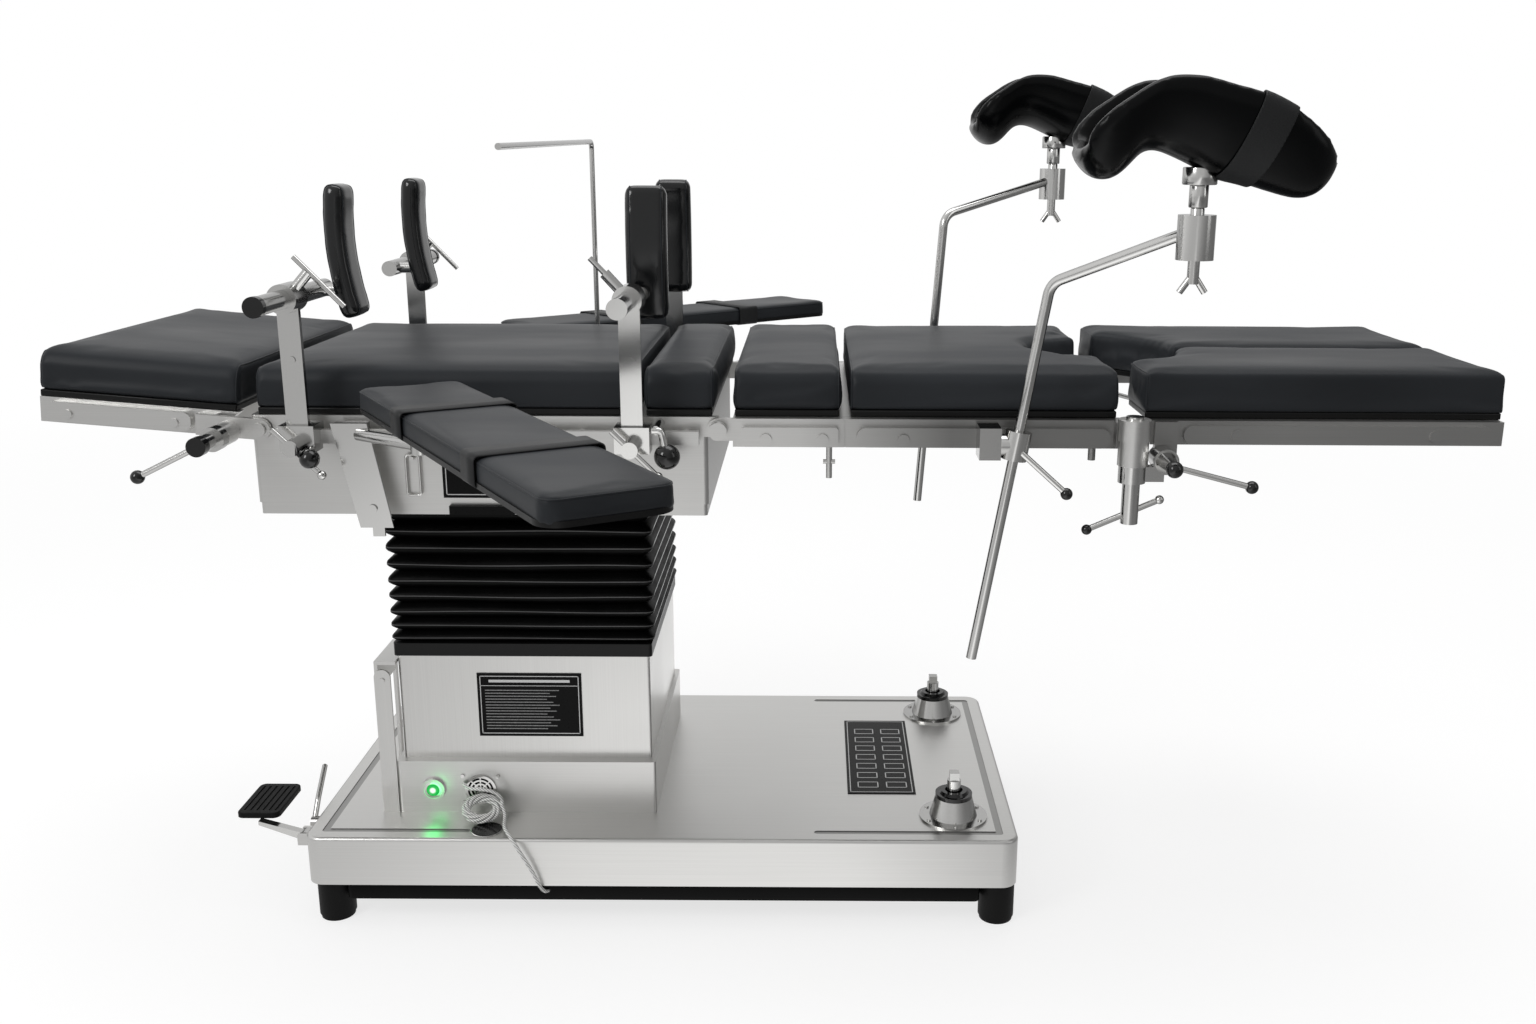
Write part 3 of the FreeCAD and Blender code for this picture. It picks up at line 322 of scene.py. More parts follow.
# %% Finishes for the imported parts
finish_of = {
    brushed: "base_cover column_plinth centre_housing head_frame seat_frame leg_frame_near leg_frame_far "
             "centre_rails",
    upright_brush: "column_cover side_post lift_cylinder lift_ram",
    polished: "jack_housings jack_screw_near jack_screw_far release_lever tilt_cradle hanger_loop "
              "kidney_crank head_lever leg_post_near leg_post_far leg_lever_near leg_lever_far rail_clamps "
              "screen_rod pump_pedal power_button support_arm_head_near support_arm_head_far "
              "support_arm_foot_near support_arm_foot_far stirrup_clamps stirrup_rod_near stirrup_rod_far "
              "vent_grille",
    dull_rubber: "base_feet pedal_pad",
    moulded: "bellows_frame arm_tray_near arm_tray_far",
    chassis_paint: "base_chassis",
    plate_lacquer: "data_plates control_plate",
}
for finish, nodes in finish_of.items():
    for node in nodes.split():
        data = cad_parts[node].data
        data.materials.clear()
        data.materials.append(finish)
print("finished nodes", sum(len(nodes.split()) for nodes in finish_of.values()))

# %% [markdown]
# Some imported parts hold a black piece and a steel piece, such as a lever with its ball. The faces
# inside a given box get the second finish, which leaves every vertex where it is.

# %% Black balls and caps
def second_finish(node, finish, centre, reach):
    """Faces of a node within reach of a point, in millimetres around the column."""
    data, middle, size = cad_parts[node].data, at(*centre), Vector(reach) / 1000
    if finish.name not in data.materials:
        data.materials.append(finish)
    inside = [f for f in data.polygons if all(abs(a) <= s for a, s in zip(f.center - middle, size))]
    for face in inside:
        face.material_index = data.materials.find(finish.name)
    return len(inside)


black_parts = [
    ("kidney_crank", (229, -306, 703), (17.4, 17.4, 17.4)), ("head_lever", (-451, -330, 678), (10, 10, 10)),
    ("head_lever", (-356, -359, 725), (14, 7.5, 14)), ("rail_clamps", (-232, -322, 704), (13.5, 14, 13.5)),
    ("stirrup_clamps", (748, -318, 659), (9, 9, 9)), ("stirrup_clamps", (682, 318, 659), (9, 9, 9)),
    ("vent_grille", (-49, -247, 140), (21, 21, 1)),
]
for side, sign in (("near", -1), ("far", 1)):
    black_parts += [
        ("leg_lever_" + side, (880, sign * 344.2, 698), (12, 10.4, 12)),
        ("leg_lever_" + side, (987, sign * 322, 670), (9, 9, 9)),
        ("leg_post_" + side, (783.5, sign * 285, 602.6), (7.5, 7.5, 7.5)),
        ("support_arm_head_" + side, (-252, sign * 401, 905), (14, 5.5, 14)),
        ("jack_housings", (628, sign * 194, 176), (28, 28, 5.2)),
    ]
painted = [second_finish(node, ball_plastic, centre, reach) for node, centre, reach in black_parts]
print("black faces", painted)

# %% [markdown]
# The same step gives two steel parts a darker colour. The pressed groove round the top of the base
# gets a painted shade, and the side rails of the foot end get the steel whose colour darkens
# along the table, a painted reflection.

# %% Painted shade in the groove and painted reflection on the rails of the foot end
rail_y, rail_z = 265, 728
# The groove faces get the darker steel, a painted shade.
dimmed = [second_finish("base_cover", painted_groove_shade, (195, 0, 138.1), (510, 252, 0.7))]
for node, middle_x, half_length in (("seat_frame", 568, 275), ("leg_frame_near", 1100, 260),
                                    ("leg_frame_far", 1100, 260)):
    for sign in (-1, 1):
        centre, reach = (middle_x, sign * rail_y, rail_z), (half_length, 24, 40)
        # The rail faces get the steel with the painted reflection.
        dimmed.append(second_finish(node, rail_painted_reflection, centre, reach))
print("faces of the groove and of the rails", dimmed)

# %% [markdown]
# A new piece starts as a bmesh, which is Blender's own workbench for vertices, edges and faces.
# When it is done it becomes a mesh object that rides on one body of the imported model. Smooth
# shading with a limit on the angle keeps bevels soft and real edges crisp.

# %% From a bmesh to a piece
def piece(name, bm, finish, body, crease=40):
    bmesh.ops.recalc_face_normals(bm, faces=bm.faces)
    mesh = bpy.data.meshes.new(name)
    bm.to_mesh(mesh)
    bm.free()
    obj = bpy.data.objects.new(name, mesh)
    bpy.context.scene.collection.objects.link(obj)
    mesh.materials.append(finish)
    for face in mesh.polygons:
        face.use_smooth = True
    mesh.set_sharp_from_angle(angle=math.radians(crease))
    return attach(obj, body) if body else obj


def settled(obj):
    """Replaces a piece's mesh with what its modifiers make of it."""
    graph = bpy.context.evaluated_depsgraph_get()
    mesh = bpy.data.meshes.new_from_object(obj.evaluated_get(graph))
    obj.modifiers.clear()
    obj.data = mesh
    return obj


def block(low, high):
    """A bmesh box between two corners in millimetres around the column."""
    a, b = at(*low), at(*high)
    bm = bmesh.new()
    bmesh.ops.create_cube(bm, size=1.0)
    bmesh.ops.scale(bm, vec=b - a, verts=bm.verts)
    bmesh.ops.translate(bm, vec=(a + b) / 2, verts=bm.verts)
    return bm


def cylinder(bm, middle, radius, deep, segments=40, turn=Matrix()):
    """A cylinder with a radius and a depth in millimetres, upright if it isn't turned."""
    bmesh.ops.create_cone(bm, cap_ends=True, segments=segments, radius1=radius / 1000, radius2=radius / 1000,
                          depth=deep / 1000, matrix=Matrix.Translation(middle) @ turn)


def poured(bm, into):
    """Adds one bmesh to another."""
    mesh = bpy.data.meshes.new("poured")
    bm.to_mesh(mesh)
    bm.free()
    into.from_mesh(mesh)


def rounded(bm, edges, radius, segments):
    bmesh.ops.bevel(bm, geom=list(edges), offset=radius / 1000, offset_type="OFFSET", affect="EDGES",
                    segments=segments, profile=0.5, material=-1, clamp_overlap=True)


def sharp_edges(bm, angle=40):
    bm.normal_update()
    return [e for e in bm.edges if len(e.link_faces) == 2 and e.calc_face_angle() > math.radians(angle)]


print("a block has", len(block((0, 0, 0), (1, 1, 1)).verts), "corners")

# %% [markdown]
# A cushion of this table is firm foam in a sewn cover. The cover runs over the long sides in one
# large round, and flat panels close the two ends with a line of piping. The form starts a little
# small, is remeshed into even squares, and then cloth with air pressure inside swells it to its
# size, which pulls its sides in between the corners as a real cover does. A limit keeps every
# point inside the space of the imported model's plain cushion.

# %% Swelling a cover
scene = bpy.context.scene


def swell(obj, limit, pressure=4.0):
    """Cloth with pressure inside, then each point is held to within the limit of where it began."""
    start = [v.co.copy() for v in obj.data.vertices]
    sewn_edge, frames = 0.004, 20
    floor_z = min(v.z for v in start) + sewn_edge
    held = obj.vertex_groups.new(name="held")
    held.add([i for i, v in enumerate(start) if v.z < floor_z], 1.0, "REPLACE")
    cloth = obj.modifiers.new("cover", "CLOTH")
    cloth.settings.quality = 4
    cloth.settings.mass = 0.4
    cloth.settings.use_pressure = True
    cloth.settings.uniform_pressure_force = pressure
    cloth.settings.effector_weights.gravity = 0
    cloth.settings.vertex_group_mass = "held"
    cloth.collision_settings.use_collision = False
    cloth.point_cache.frame_start, cloth.point_cache.frame_end = 1, frames
    for step in range(1, frames + 1):
        scene.frame_set(step)
    graph = bpy.context.evaluated_depsgraph_get()
    swollen = [v.co.copy() for v in obj.evaluated_get(graph).data.vertices]
    obj.modifiers.clear()
    for vertex, begun, moved in zip(obj.data.vertices, start, swollen):
        away = moved - begun
        if away.length > limit:
            away *= limit / away.length
        vertex.co = begun + away
    scene.frame_set(1)
    return obj


print("covers swell in the final render only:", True)

# %% [markdown]
# The same few steps make every flat cushion: a box, a boolean where the cushion has a round
# notch, a large bevel on the long top edges, a small one on all the others, even squares, the
# swelling, and one smoothing subdivision. The piping is the line where a plane cuts the finished
# cover, turned into a thin tube.

# %% Making one cushion
low_z, top_z, half = 753, 813, 250
cover_inset, long_round, small_round, piping_inset, cover_squares = 2.5, 22, 5, 7, 0.007


def hollowed(obj, centre, radius, height=780, deep=400):
    """Cuts an upright cylinder out of a piece."""
    bm = bmesh.new()
    cylinder(bm, at(*centre, height), radius, deep, 72)
    cutter = piece("cutter", bm, cover_leather, None)
    cut = obj.modifiers.new("notch", "BOOLEAN")
    cut.operation, cut.solver, cut.object = "DIFFERENCE", "EXACT", cutter
    settled(obj)
    bpy.data.objects.remove(cutter)
    return obj


def softened(obj, times):
    """Takes small bumps out, each time by half."""
    soft = obj.modifiers.new("soft", "SMOOTH")
    soft.factor, soft.iterations = 0.5, times
    return settled(obj)


def evened(obj, size):
    """Even squares all over, softened a little."""
    squares = obj.modifiers.new("squares", "REMESH")
    squares.mode, squares.voxel_size = "VOXEL", size
    return softened(obj, 3)


def smoothed(obj):
    finer = obj.modifiers.new("finer", "SUBSURF")
    finer.levels = finer.render_levels = 1
    settled(obj)
    for face in obj.data.polygons:
        face.use_smooth = True
    return obj


def tube_of(name, bm, radius, finish, body):
    """A thin round tube along the edges of a bmesh."""
    mesh = bpy.data.meshes.new(name)
    bm.to_mesh(mesh)
    bm.free()
    obj = bpy.data.objects.new(name, mesh)
    scene.collection.objects.link(obj)
    bpy.ops.object.select_all(action="DESELECT")
    bpy.context.view_layer.objects.active = obj
    obj.select_set(True)
    bpy.ops.object.convert(target="CURVE")
    obj.data.bevel_depth, obj.data.bevel_resolution, obj.data.use_fill_caps = radius / 1000, 1, True
    bpy.ops.object.convert(target="MESH")
    obj.select_set(False)
    obj.data.materials.clear()
    obj.data.materials.append(finish)
    for face in obj.data.polygons:
        face.use_smooth = True
    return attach(obj, body)


def piping(name, cover, planes, body, radius=1.3):
    """Piping where planes cut a cover. A plane is a point and a direction."""
    lines = bmesh.new()
    for point, direction in planes:
        cut = bmesh.new()
        cut.from_mesh(cover.data)
        bmesh.ops.bisect_plane(cut, geom=cut.verts[:] + cut.edges[:] + cut.faces[:], plane_co=point,
                               plane_no=direction, clear_inner=True, clear_outer=True)
        poured(cut, lines)
    return tube_of(name, lines, radius, cover_leather, body)


def cushion(name, body, x0, x1, y0=-half, y1=half, notch=None, turn=Matrix()):
    """One cushion with its piping, at both ends or where no notch is."""
    inset = cover_inset
    bm = block((x0 + inset, y0 + inset, low_z + 1), (x1 - inset, y1 - inset, top_z - inset))
    obj = piece(name, bm, cover_leather, None)
    if notch:
        hollowed(obj, notch[:2], notch[2] + inset)
    bm = bmesh.new()
    bm.from_mesh(obj.data)
    high = max(v.co.z for v in bm.verts)
    long_top = [e for e in sharp_edges(bm) if min(v.co.z for v in e.verts) > high - 1e-5
                and abs(e.verts[0].co.y - e.verts[1].co.y) < 1e-5
                and min(abs(e.verts[0].co.y - at(0, y, 0).y) for y in (y0 + inset, y1 - inset)) < 1e-5]
    rounded(bm, long_top, long_round, 6)
    rounded(bm, sharp_edges(bm), small_round, 3)
    bm.to_mesh(obj.data)
    bm.free()
    evened(obj, cover_squares)
    swell(obj, inset / 1000)
    smoothed(obj)
    ends = [(at(x, 0, 0), Vector((1, 0, 0))) for x in (x0 + piping_inset, x1 - piping_inset)]
    notched_end = notch and notch[0] >= x1
    edge = piping(name + "_piping", obj, ends[:1] if notched_end else ends, body)
    for part in (obj, edge):
        part.data.transform(turn)
    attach(obj, body)
    return obj


print("a cushion is", top_z - low_z, "mm thick")

# %% [markdown]
# Every cushion of the row has its own body and length. The head section hangs down by a few
# degrees. The thigh cushion has a half-round notch at its end, and the two leg cushions are
# rounded away opposite it.

# %% The row of cushions
hinge, head_angle = at(-316, 0, 728), math.radians(4.5)
head_turn = Matrix.Translation(hinge) @ Matrix.Rotation(head_angle, 4, "Y") @ Matrix.Translation(-hinge)
leg_split, thigh_notch, leg_notch = 4, (829, 0, 88), (800, 0, 150)
sections = {
    "head_%s": ("head", -618, -346, -half, half, None, head_turn),
    "back_%s": ("top", -328, 186),
    "bridge_%s": ("bridge", 190, 290),
    "seat_%s": ("seat", 308, 459),
    "thigh_%s": ("seat", 463, 829, -half, half, thigh_notch),
    "leg_%s_near": ("leg_near", 855, 1342, -half, -leg_split, leg_notch),
    "leg_%s_far": ("leg_far", 855, 1342, leg_split, half, leg_notch),
}
replaced = {"bridge_%s": "kidney_bridge", "seat_%s": "seat_cushions", "thigh_%s": None}
cushions = []
for name, values in sections.items():
    obj = cushion(name % "cover", *values)
    cushions.append(obj)
    node = replaced.get(name, name % "cushion")
    if node:
        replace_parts(obj, node)
print("cushion points", [len(obj.data.vertices) for obj in cushions])

# %% [markdown]
# Under each cushion lies a thin black board, set back from its edge. It is a plain plate with
# softened edges, cut like the cushion above it. The bridge stands on two steel posts, which show
# when it is raised.

# %% Boards and the posts of the bridge
board_low, board_top, end_inset, side_inset = 746, 755, 6, 5


def board(name, body, x0, x1, y0=-half, y1=half, notch=None, turn=Matrix()):
    bm = block((x0 + end_inset, y0 + side_inset, board_low), (x1 - end_inset, y1 - side_inset, board_top))
    obj = piece(name, bm, moulded, None)
    if notch:
        hollowed(obj, notch[:2], notch[2] + end_inset)
    bm = bmesh.new()
    bm.from_mesh(obj.data)
    rounded(bm, sharp_edges(bm), 1.6, 2)
    bm.to_mesh(obj.data)
    bm.free()
    obj.data.transform(turn)
    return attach(obj, body)


for name, values in sections.items():
    board(name % "board", *values)
posts, post_radius, post_length = bmesh.new(), 10, 106
for y in (-150, 150):
    cylinder(posts, at(240, y, 693), post_radius, post_length, 32)
rounded(posts, sharp_edges(posts), 1.2, 2)
piece("bridge_posts", posts, polished, "bridge")
print("boards made, and two posts of", post_length, "mm")

# %% [markdown]
# An arm board is a long pad on a black tray, held by two bands. The pad gets its large upright
# corners by a bevel and then the same squares and swelling as the cushions. It is drawn along X
# and turned into its place at the end.

# %% Arm boards
def arm_turn(sign):
    """From a board drawn along X at the origin to its place on one side."""
    pivot, angle = ((-77, -349), -59) if sign < 0 else ((-60, 349), 42)
    turn = Matrix.Rotation(math.radians(angle), 4, "Z")
    return Matrix.Translation(at(*pivot, 0)) @ turn @ Matrix.Translation(-at(0, 0, 0))


def upright(bm):
    """The edges of a box that stand upright."""
    return [e for e in bm.edges if abs(e.verts[0].co.z - e.verts[1].co.z) > 0.01]


def arm_pad(side, sign):
    body, turn = "arm_" + side, arm_turn(sign)
    bm = block((-44, -67, 770), (619, 67, 799))
    rounded(bm, upright(bm), 18, 5)
    rounded(bm, sharp_edges(bm, 60), 4.5, 3)
    obj = piece("arm_pad_cover_" + side, bm, cover_leather, None)
    evened(obj, 0.0045)
    swell(obj, 0.0012)
    smoothed(obj)
    edge = piping("arm_piping_" + side, obj, [(at(0, 0, 795), Vector((0, 0, 1)))], body, 1.0)
    bands, band_width = bmesh.new(), 42
    for x in (130, 395):
        band = block((x, -69.5, 768), (x + band_width, 69.5, 802))
        bmesh.ops.delete(band, geom=[f for f in band.faces if abs(f.normal.x) > 0.9], context="FACES")
        rounded(band, [e for e in band.edges if len(e.link_faces) == 2], 6, 4)
        poured(band, bands)
    band = piece("arm_bands_" + side, bands, strap_leather, body)
    thick = band.modifiers.new("thick", "SOLIDIFY")
    thick.thickness, thick.offset = 0.0016, -1
    settled(band)
    for part in (obj, edge, band):
        part.data.transform(turn)
    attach(obj, body)
    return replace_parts(obj, "arm_pad_" + side)


arms = [arm_pad("near", -1), arm_pad("far", 1)]
print("arm pads", [len(a.data.vertices) for a in arms])

# %% [markdown]
# The four body supports end in narrow pads that are bent like a slice of a barrel. A rectangle,
# spun about a far axis, gives that bend in one step, and then its edges are rounded.

# %% Bent support pads
def support_pad(name, body, place, mirror):
    bow, thick, width, tall, gap, seam_at = 0.420, 0.028, 0.056, 0.184, 0.003, 0.021
    bm = bmesh.new()
    bmesh.ops.create_grid(bm, x_segments=1, y_segments=1, size=0.5)
    bmesh.ops.scale(bm, vec=(thick, width, 1), verts=bm.verts)
    bmesh.ops.translate(bm, vec=(gap + thick / 2 - bow, 0, 0), verts=bm.verts)
    angle = tall / bow
    bmesh.ops.rotate(bm, cent=(0, 0, 0), matrix=Matrix.Rotation(-angle / 2, 3, "Y"), verts=bm.verts)
    profile = bm.verts[:] + bm.edges[:] + bm.faces[:]
    bmesh.ops.spin(bm, geom=profile, cent=(0, 0, 0), axis=(0, 1, 0), angle=angle, steps=16, use_merge=False,
                   use_duplicate=False)
    bmesh.ops.contextual_create(bm, geom=[e for e in bm.edges if len(e.link_faces) == 1])
    bmesh.ops.translate(bm, vec=(bow, 0, 0), verts=bm.verts)
    bmesh.ops.remove_doubles(bm, verts=bm.verts, dist=1e-6)
    bmesh.ops.recalc_face_normals(bm, faces=bm.faces)
    rounded(bm, sharp_edges(bm), 9, 4)
    obj = piece(name, bm, support_leather, None)
    evened(obj, 0.0035)
    softened(obj, 12)
    smoothed(obj)
    planes = [(Vector((0, y, 0)), Vector((0, 1, 0))) for y in (-seam_at, seam_at)]
    seam = piping(name + "_piping", obj, planes, body, 0.9)
    flip = Matrix.Diagonal((1, -1, 1, 1))
    for part in (obj, seam):
        part.data.transform(place)
        if mirror:
            part.data.transform(Matrix.Translation(at(0, 0, 0)) @ flip @ Matrix.Translation(-at(0, 0, 0)))
            part.data.flip_normals()
    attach(obj, body)
    return obj


lean = Matrix.Rotation(math.radians(-4), 4, "Y")
head_place = Matrix.Translation(at(-232, -180, 955)) @ lean
side_place = Matrix.Translation(at(195, -205.5, 956)) @ Matrix.Rotation(math.radians(90), 4, "Z")
for end, place in (("head", head_place), ("foot", side_place)):
    for side in ("near", "far"):
        name = "support_%s_%s" % (end, side)
        made = support_pad(name + "_cover", name, place, side == "far")
        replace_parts(made, "support_pad_%s_%s" % (end, side))
print("support pads", len(made.data.vertices), "points each")

# %% [markdown]
# A leg holder is a deep padded trough for the knee. Its mouth droops like a lip, its rim is
# highest over the knee and runs down towards the calf. A flat grid is bent into that channel,
# gets its thickness from Solidify, and even squares and much smoothing turn its edges round. Like
# the support pads it is moulded foam with its own skin, so no air pressure swells it.

# %% Leg holders
def flowing(x, stops):
    """A value that runs through the stops without a kink."""
    i = max(1, min(len(stops) - 2, sum(x > stop[0] for stop in stops[1:-1]) + 1))
    (x0, v0), (x1, v1) = stops[i - 1], stops[i]
    if x > x1:
        i += 1
        (x0, v0), (x1, v1) = stops[i - 1], stops[i]
    before, after = stops[max(i - 2, 0)], stops[min(i + 1, len(stops) - 1)]
    t, run = (x - x0) / (x1 - x0), x1 - x0
    slope0 = (v1 - before[1]) / (x1 - before[0]) * run
    slope1 = (after[1] - v0) / (after[0] - x0) * run
    return (v0 * (1 + 2 * t) * (1 - t) ** 2 + slope0 * t * (1 - t) ** 2
            + v1 * t * t * (3 - 2 * t) - slope1 * t * t * (1 - t))


rim = ((-150, 84), (-140, 104), (-126, 120), (-110, 130), (-84, 146), (-56, 156), (-20, 155), (14, 147),
       (54, 137), (90, 121), (125, 98), (142, 80), (150, 62))
keel = ((-150, 58), (-140, 40), (-126, 31), (-112, 33), (-98, 46), (-84, 60), (-58, 65), (-20, 52),
        (14, 37), (54, 28), (90, 18), (125, 11), (142, 20), (150, 44))
spread = ((-150, 56), (-135, 70), (-110, 75), (-40, 74), (30, 74), (90, 72), (125, 62), (142, 50),
          (150, 38))
almost_end, shortened, half_wall, bowl, wall_thickness = 149.9, 0.935, 10, 0.8, 0.021


def trough(name, body, middle):
    bm = bmesh.new()
    bmesh.ops.create_grid(bm, x_segments=60, y_segments=36, size=0.5)
    for vertex in bm.verts:
        x = almost_end * math.sin(math.pi * vertex.co.x)
        a = math.pi * (vertex.co.y + 0.5)
        wide, top = flowing(x, spread) - half_wall, flowing(x, rim) - half_wall
        low = flowing(x, keel) + half_wall
        top, low = max(top, low + 1), min(top, low)
        up = top - (top - low) * math.sin(a) ** bowl
        vertex.co = Vector((x * shortened, -wide * math.cos(a), up)) / 1000
    bmesh.ops.translate(bm, vec=middle, verts=bm.verts)
    obj = piece(name, bm, pad_leather, None)
    wall = obj.modifiers.new("wall", "SOLIDIFY")
    wall.thickness, wall.offset = wall_thickness, 0
    settled(obj)
    evened(obj, 0.004)
    softened(obj, 30)
    smoothed(obj)
    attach(obj, body)
    return obj


middles = {"near": at(865, -420, 1028), "far": at(832, 420, 1068)}
holders = []
for side, middle in middles.items():
    holders.append(trough("holder_cover_" + side, "holder_" + side, middle))
    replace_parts(holders[-1], "leg_holder_" + side)
print("trough points", [len(h.data.vertices) for h in holders])

# %% [markdown]
# A wide strap of grained leather goes round each trough. It is cut out of a copy of the trough's
# own skin by two planes, moved a little outwards and thickened. Below sits the turned post with
# its cup.

# %% Straps and posts of the leg holders
def strap_on(trough_cover, side, middle):
    slant, width, lift_off = Vector((0.939, 0, -0.344)), 0.041, 0.0008
    start = middle + Vector((0.051, 0, 0.136))
    bm = bmesh.new()
    bm.from_mesh(trough_cover.data)
    for point, way in ((start, -slant), (start + slant * width, slant)):
        bmesh.ops.bisect_plane(bm, geom=bm.verts[:] + bm.edges[:] + bm.faces[:], plane_co=point,
                               plane_no=way, clear_outer=True)
    bm.normal_update()
    for vertex in bm.verts:
        vertex.co += vertex.normal * lift_off
    obj = piece("holder_strap_" + side, bm, strap_leather, "holder_" + side, 80)
    thick = obj.modifiers.new("thick", "SOLIDIFY")
    thick.thickness, thick.offset = 0.0022, 1
    settled(obj)
    return obj


def post_under(side, middle):
    bm = bmesh.new()
    for low_part, high_part, radius in ((-38, 0, 8), (0, 30, 11), (26, 46, 20)):
        centre = middle + Vector((0, 0, (low_part + high_part) / 2000))
        cylinder(bm, centre, radius, high_part - low_part)
    rounded(bm, sharp_edges(bm), 1.5, 2)
    return piece("holder_post_" + side, bm, polished, "holder_" + side)


straps = []
for (side, middle), cover in zip(middles.items(), holders):
    straps.append(strap_on(cover, side, middle))
    post_under(side, middle)
print("strap points", [len(strap.data.vertices) for strap in straps])

# %% [markdown]
# The bellows hide the lifting column. They are one square tube of rubberised cloth with nine soft
# folds, and the cloth's weight presses the lower ones closer together. We draw the outline of the
# column, round its corners, and extrude it upwards in small steps. Each ring grows and shrinks
# as half a sine, which gives round lips and sharp creases. One narrow row of faces along each lip
# gets a glossier finish and a lighter colour, and the lighter colour is a painted highlight.

# %% Bellows
def bellows(folds=9, steps=16, low=398, high=604, depth=13.0):
    length, width, corner, half_size = 0.354, 0.326, 0.010, 170
    bm = bmesh.new()
    bmesh.ops.create_grid(bm, x_segments=1, y_segments=1, size=0.5)
    bmesh.ops.scale(bm, vec=(length, width, 1), verts=bm.verts)
    bmesh.ops.translate(bm, vec=at(0, 0, low), verts=bm.verts)
    bmesh.ops.bevel(bm, geom=bm.verts[:], offset=corner, offset_type="OFFSET", affect="VERTICES", segments=3,
                    profile=0.5, material=-1)
    bmesh.ops.subdivide_edges(bm, edges=[e for e in bm.edges if e.calc_length() > 0.1], cuts=12)
    ring, size, height = bm.edges[:], 1.0, low
    bmesh.ops.delete(bm, geom=bm.faces[:], context="FACES_ONLY")
    for i in range(1, folds * steps + 1):
        grown = bmesh.ops.extrude_edge_only(bm, edges=ring)["geom"]
        ring = [g for g in grown if isinstance(g, bmesh.types.BMEdge) and len(g.link_faces) == 1]
        verts = [g for g in grown if isinstance(g, bmesh.types.BMVert)]
        # One row of faces along each lip gets the lighter, glossier rubber: a painted highlight.
        for face in (g for g in grown if isinstance(g, bmesh.types.BMFace)):
            face.material_index = int(i % steps == steps // 2 + 1)
        fold = i / steps
        wanted = 1 + depth / half_size * abs(math.sin(math.pi * fold)) ** 0.85
        level = low + (high - low) * (fold / folds) ** 1.15
        bmesh.ops.scale(bm, vec=(wanted / size, wanted / size, 1), verts=verts,
                        space=Matrix.Translation(-at(0, 0, 0)))
        bmesh.ops.translate(bm, vec=(0, 0, (level - height) / 1000), verts=verts)
        size, height = wanted, level
    for vertex in bm.verts:
        away = vertex.co - at(0, 0, 0)
        inside = min(1, (away.z * 1000 - low) / 20, (high - away.z * 1000) / 20)
        sag = 0.0011 * inside
        vertex.co.z += sag * math.sin(19 * away.x + 90 * away.z) * math.cos(13 * away.y + 60 * away.z)
    obj = piece("bellows_skin", bm, bellows_rubber, None, 75)
    # The second slot is the lip finish with its painted highlight.
    obj.data.materials.append(lip_gloss_and_painted_highlight)
    thick = obj.modifiers.new("thick", "SOLIDIFY")
    thick.thickness, thick.offset = 0.002, -1
    settled(obj)
    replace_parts(obj, "bellows")
    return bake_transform(obj)


skin = bellows()
print("bellows", len(skin.data.vertices), "points")

# %% [markdown]
# The plates carry print on the real table. Here they get only a silver line round the edge and
# plain short lines or small frames, with no words. Each line is a block that stands about a tenth
# of a millimetre proud, as screen print does.

# %% Plain lines on the plates
silver = (0.62, 0.62, 0.62, 1)
silver_print = Finish("silver_print", Metallic=0.6, Roughness=0.4, Base_Color=silver).material
speckle = Finish("grey_print", Roughness=0.5)
specks = speckle.greys(speckle.noise(speckle.place, 900.0), [(0.3, 0.12), (0.7, 0.42)])
grey_print = speckle.feed(Base_Color=specks).material


def printed(name, bars, finish, body, front=None, top=None, proud=0.12):
    """Thin bars on an upright plate with its front at y, or on one that lies with its top at z."""
    marks = bmesh.new()
    for a, b, c, d in bars:
        if top is None:
            poured(block((a, front - proud, c), (b, front, d)), marks)
        else:
            poured(block((a, c, top), (b, d, top + proud)), marks)
    return piece(name, marks, finish, body)


def frame_line(x0, x1, v0, v1, wide):
    """The four sides of a line frame, each as its ends along both axes of a plate."""
    return [(x0, x1, v0, v0 + wide), (x0, x1, v1 - wide, v1),
            (x0, x0 + wide, v0, v1), (x1 - wide, x1, v0, v1)]


def row(i, left=-58, longest=108, shorter=23, first=325, step=4.6, tall=1.4):
    """One of the plain rows on the wall plate. They end at five different places."""
    return left, left + longest - shorter * ((3 * i) % 5) / 5, first - step * i, first + tall - step * i


def small_frame(i, left=490, low=-104, wide=32, tall=20, across=44, up=34):
    """One of the small frames on the label, in two columns."""
    x, y = left + across * (i % 2), low + up * (i // 2)
    return frame_line(x, x + wide, y, y + tall, 1.6)


plate_front, label_top, panel_front, low_print = -175.5, 140.2, -253.5, 0.1
wall_line = frame_line(-65, 79, 258, 348, 1.1) + [(-52, 66, 338, 342), (-65, 79, 332.4, 333.2)]
rows = [row(i) for i in range(14)]
label_line = frame_line(478, 574, -120, 152, 1.3)
marks = [side for i in range(14) for side in small_frame(i)]
panel_line = frame_line(-75, 47, 638, 686, 1.2)
printed("plate_line", wall_line, silver_print, "base", front=plate_front)
printed("plate_rows", rows, grey_print, "base", front=plate_front, proud=low_print)
printed("label_line", label_line, silver_print, "base", top=label_top)
printed("label_marks", marks, silver_print, "base", top=label_top, proud=low_print)
printed("panel_line", panel_line, silver_print, "top", front=panel_front)
print("printed bars", len(wall_line) + len(rows) + len(label_line) + len(marks) + len(panel_line))
